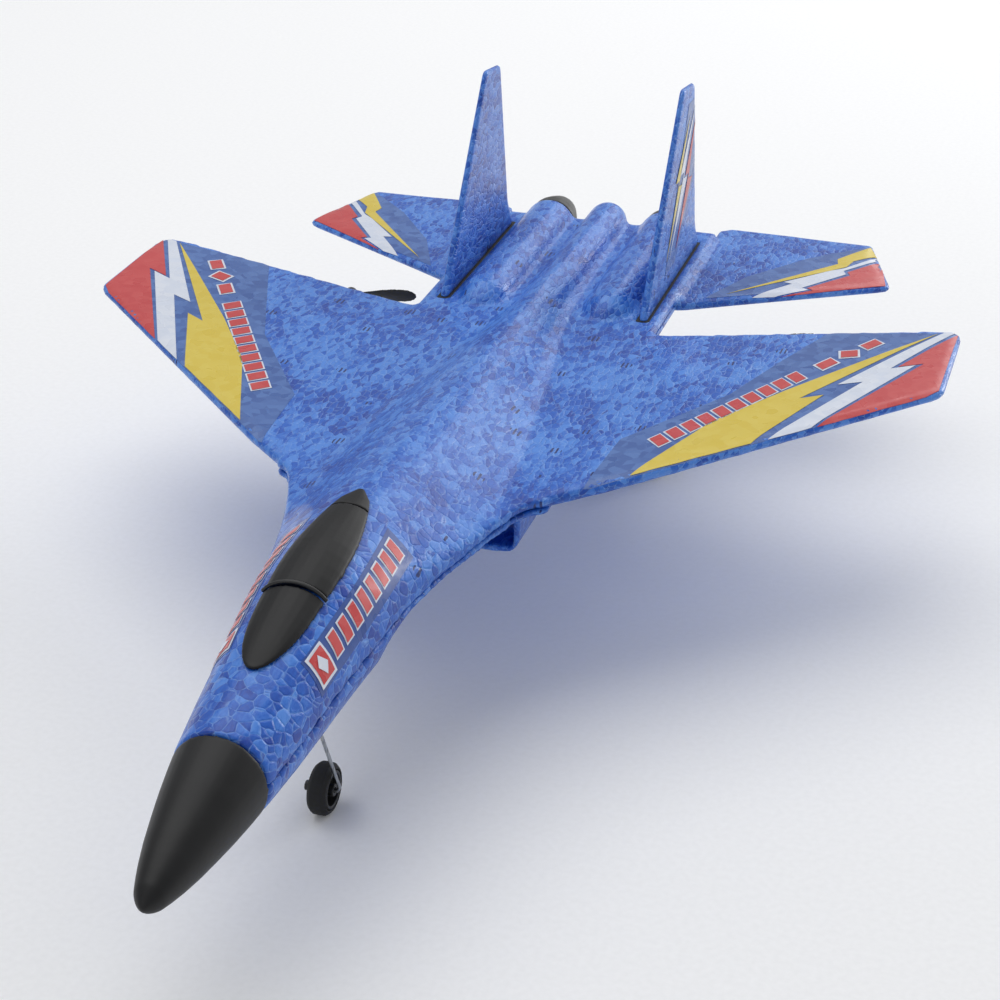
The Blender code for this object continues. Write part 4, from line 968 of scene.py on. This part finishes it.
        # Ten bars run along the wing, then a diamond stands between two wider ones.
        row = ((66.2, 14.5), (98.5, 66.5), 10, 4.6, 6.0)
        pair = ((106.2, 78.3), (117.8, 96.7), 2, 7.2, 4.4)
        gem = ((112, 87.5), (32.3, 52.0))
        borders = self.slanted(*row, 0.55) + self.slanted(*pair, 0.7) + [self.diamond(*gem, 10.4, 9.4)]
        self.press(f"{side}_wing_bar_borders", Look.WHITE, borders, sheet, skin, self.ink_lift)
        bars = self.slanted(*row) + self.slanted(*pair) + [self.diamond(*gem, 8.2, 7.2)]
        self.press(f"{side}_wing_bars", Look.RED, bars, sheet, skin, self.bar_lift)

    def tailplane(self, side: str, sign: float) -> None:
        """Marks one tailplane."""
        sheet = Sheet(Vector((sign, 0, 0)), Vector((0, 1, 0)), Vector((0, 0, -1)))
        skin = f"{side}_tailplane"
        ground = [(52, 141), (110.5, 173.8), (104, 205), (100, 211), (80, 190), (62, 165)]
        yellow = [(58.5, 146.5), (91.5, 188), (90.5, 192.5), (100.2, 210), (104, 201), (96.5, 192.5),
                  (95, 186)]
        white = [(67.5, 147.8), (79, 163.4), (75.8, 164), (90, 180.5), (94.5, 184.5), (104.4, 199.5),
                 (105.6, 197), (94.6, 181.8), (96, 178.8), (83, 160.8), (85.5, 160), (74.8, 151.6)]
        red = [(76.8, 152.6), (111.4, 173.4), (106.4, 195.8), (96.2, 181), (97.6, 178.2), (84.8, 161.2),
               (87.2, 160.4)]
        for label, look, points, lift in (
            ("blue_film", Look.BLUE_FILM, ground, self.film_lift),
            ("yellow_bolt", Look.YELLOW, yellow, self.ink_lift),
            ("white_bolt", Look.WHITE, white, self.ink_lift),
            ("red_tip", Look.RED, red, self.ink_lift),
        ):
            self.press(f"{side}_tail_{label}", look, [points], sheet, skin, lift)

    def fin(self, side: str, sign: float) -> None:
        """Marks the outer face of one fin."""
        sheet = Sheet(Vector((0, 1, 0)), Vector((0, 0, 1)), Vector((-sign, 0, 0)))
        skin = f"{side}_fin"
        ground = [(136, 77), (150, 77), (180, 104), (177.5, 131), (166, 131)]
        white = [(175.5, 128), (155.5, 108), (160.5, 107.5), (141, 81), (165.5, 104.5), (160, 105.5)]
        red = [(177, 123), (163, 105.5), (168, 105), (151, 82), (173.5, 102), (168, 103)]
        yellow = [(167.5, 126), (149, 107), (154, 106.5), (137, 82), (157.5, 104), (153, 104.7)]
        for label, look, points, lift in (
            ("blue_film", Look.BLUE_FILM, ground, self.film_lift),
            ("white_bolt", Look.WHITE, white, self.ink_lift),
            ("red_bolt", Look.RED, red, self.ink_lift),
            ("yellow_bolt", Look.YELLOW, yellow, self.ink_lift),
        ):
            self.press(f"{side}_fin_{label}", look, [points], sheet, skin, lift)

    def flank(self, side: str, sign: float) -> None:
        """Marks one side of the forward fuselage: a deep blue strip, a square block and a row of bars."""
        inward, up = self.flank_slope
        sheet = Sheet(Vector((0, 1, 0)), Vector((-inward * sign, 0, up)), Vector((-up * sign, 0, -inward)))
        skin = "upper_body"
        strip = [(-138.5, 41.8), (-78.5, 47.2), (-76.7, 57.6), (-137.5, 52.3)]
        block = [(-137.0, 42.9), (-128.8, 43.6), (-128.2, 52.6), (-136.4, 51.9)]
        inner = [(-136.1, 43.8), (-129.7, 44.3), (-129.1, 51.8), (-135.5, 51.2)]
        gem = self.diamond((-132.6, 47.8), (0.1, 1.0), 5.6, 4.2)
        row = ((-124.4, 48.9), (-82.5, 52.5), 8, 3.4, 5.6)
        for label, look, shapes, lift in (
            ("strip", Look.DEEP_FILM, [strip], self.film_lift),
            ("borders", Look.WHITE, [block] + self.slanted(*row, 0.5), self.ink_lift),
            ("bars", Look.RED, [inner] + self.slanted(*row), self.bar_lift),
            ("gem", Look.WHITE, [gem], self.gem_lift),
        ):
            self.press(f"{side}_flank_{label}", look, shapes, sheet, skin, lift)

    def build(self) -> None:
        """Marks both sides."""
        for side, sign in SIDES:
            self.wing(side, sign)
            self.tailplane(side, sign)
            self.fin(side, sign)
            self.flank(side, sign)


def main() -> None:
    """Builds the scene."""
    logging.basicConfig(level=logging.INFO, format="%(message)s")
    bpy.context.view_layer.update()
    Studio().build()
    airframe = Airframe()
    airframe.build()
    NoseAndCanopy().build()
    Drives().build()
    Undercarriage().build()
    PowerBay().build()
    Markings(airframe).build()


if __name__ == "__main__":
    main()
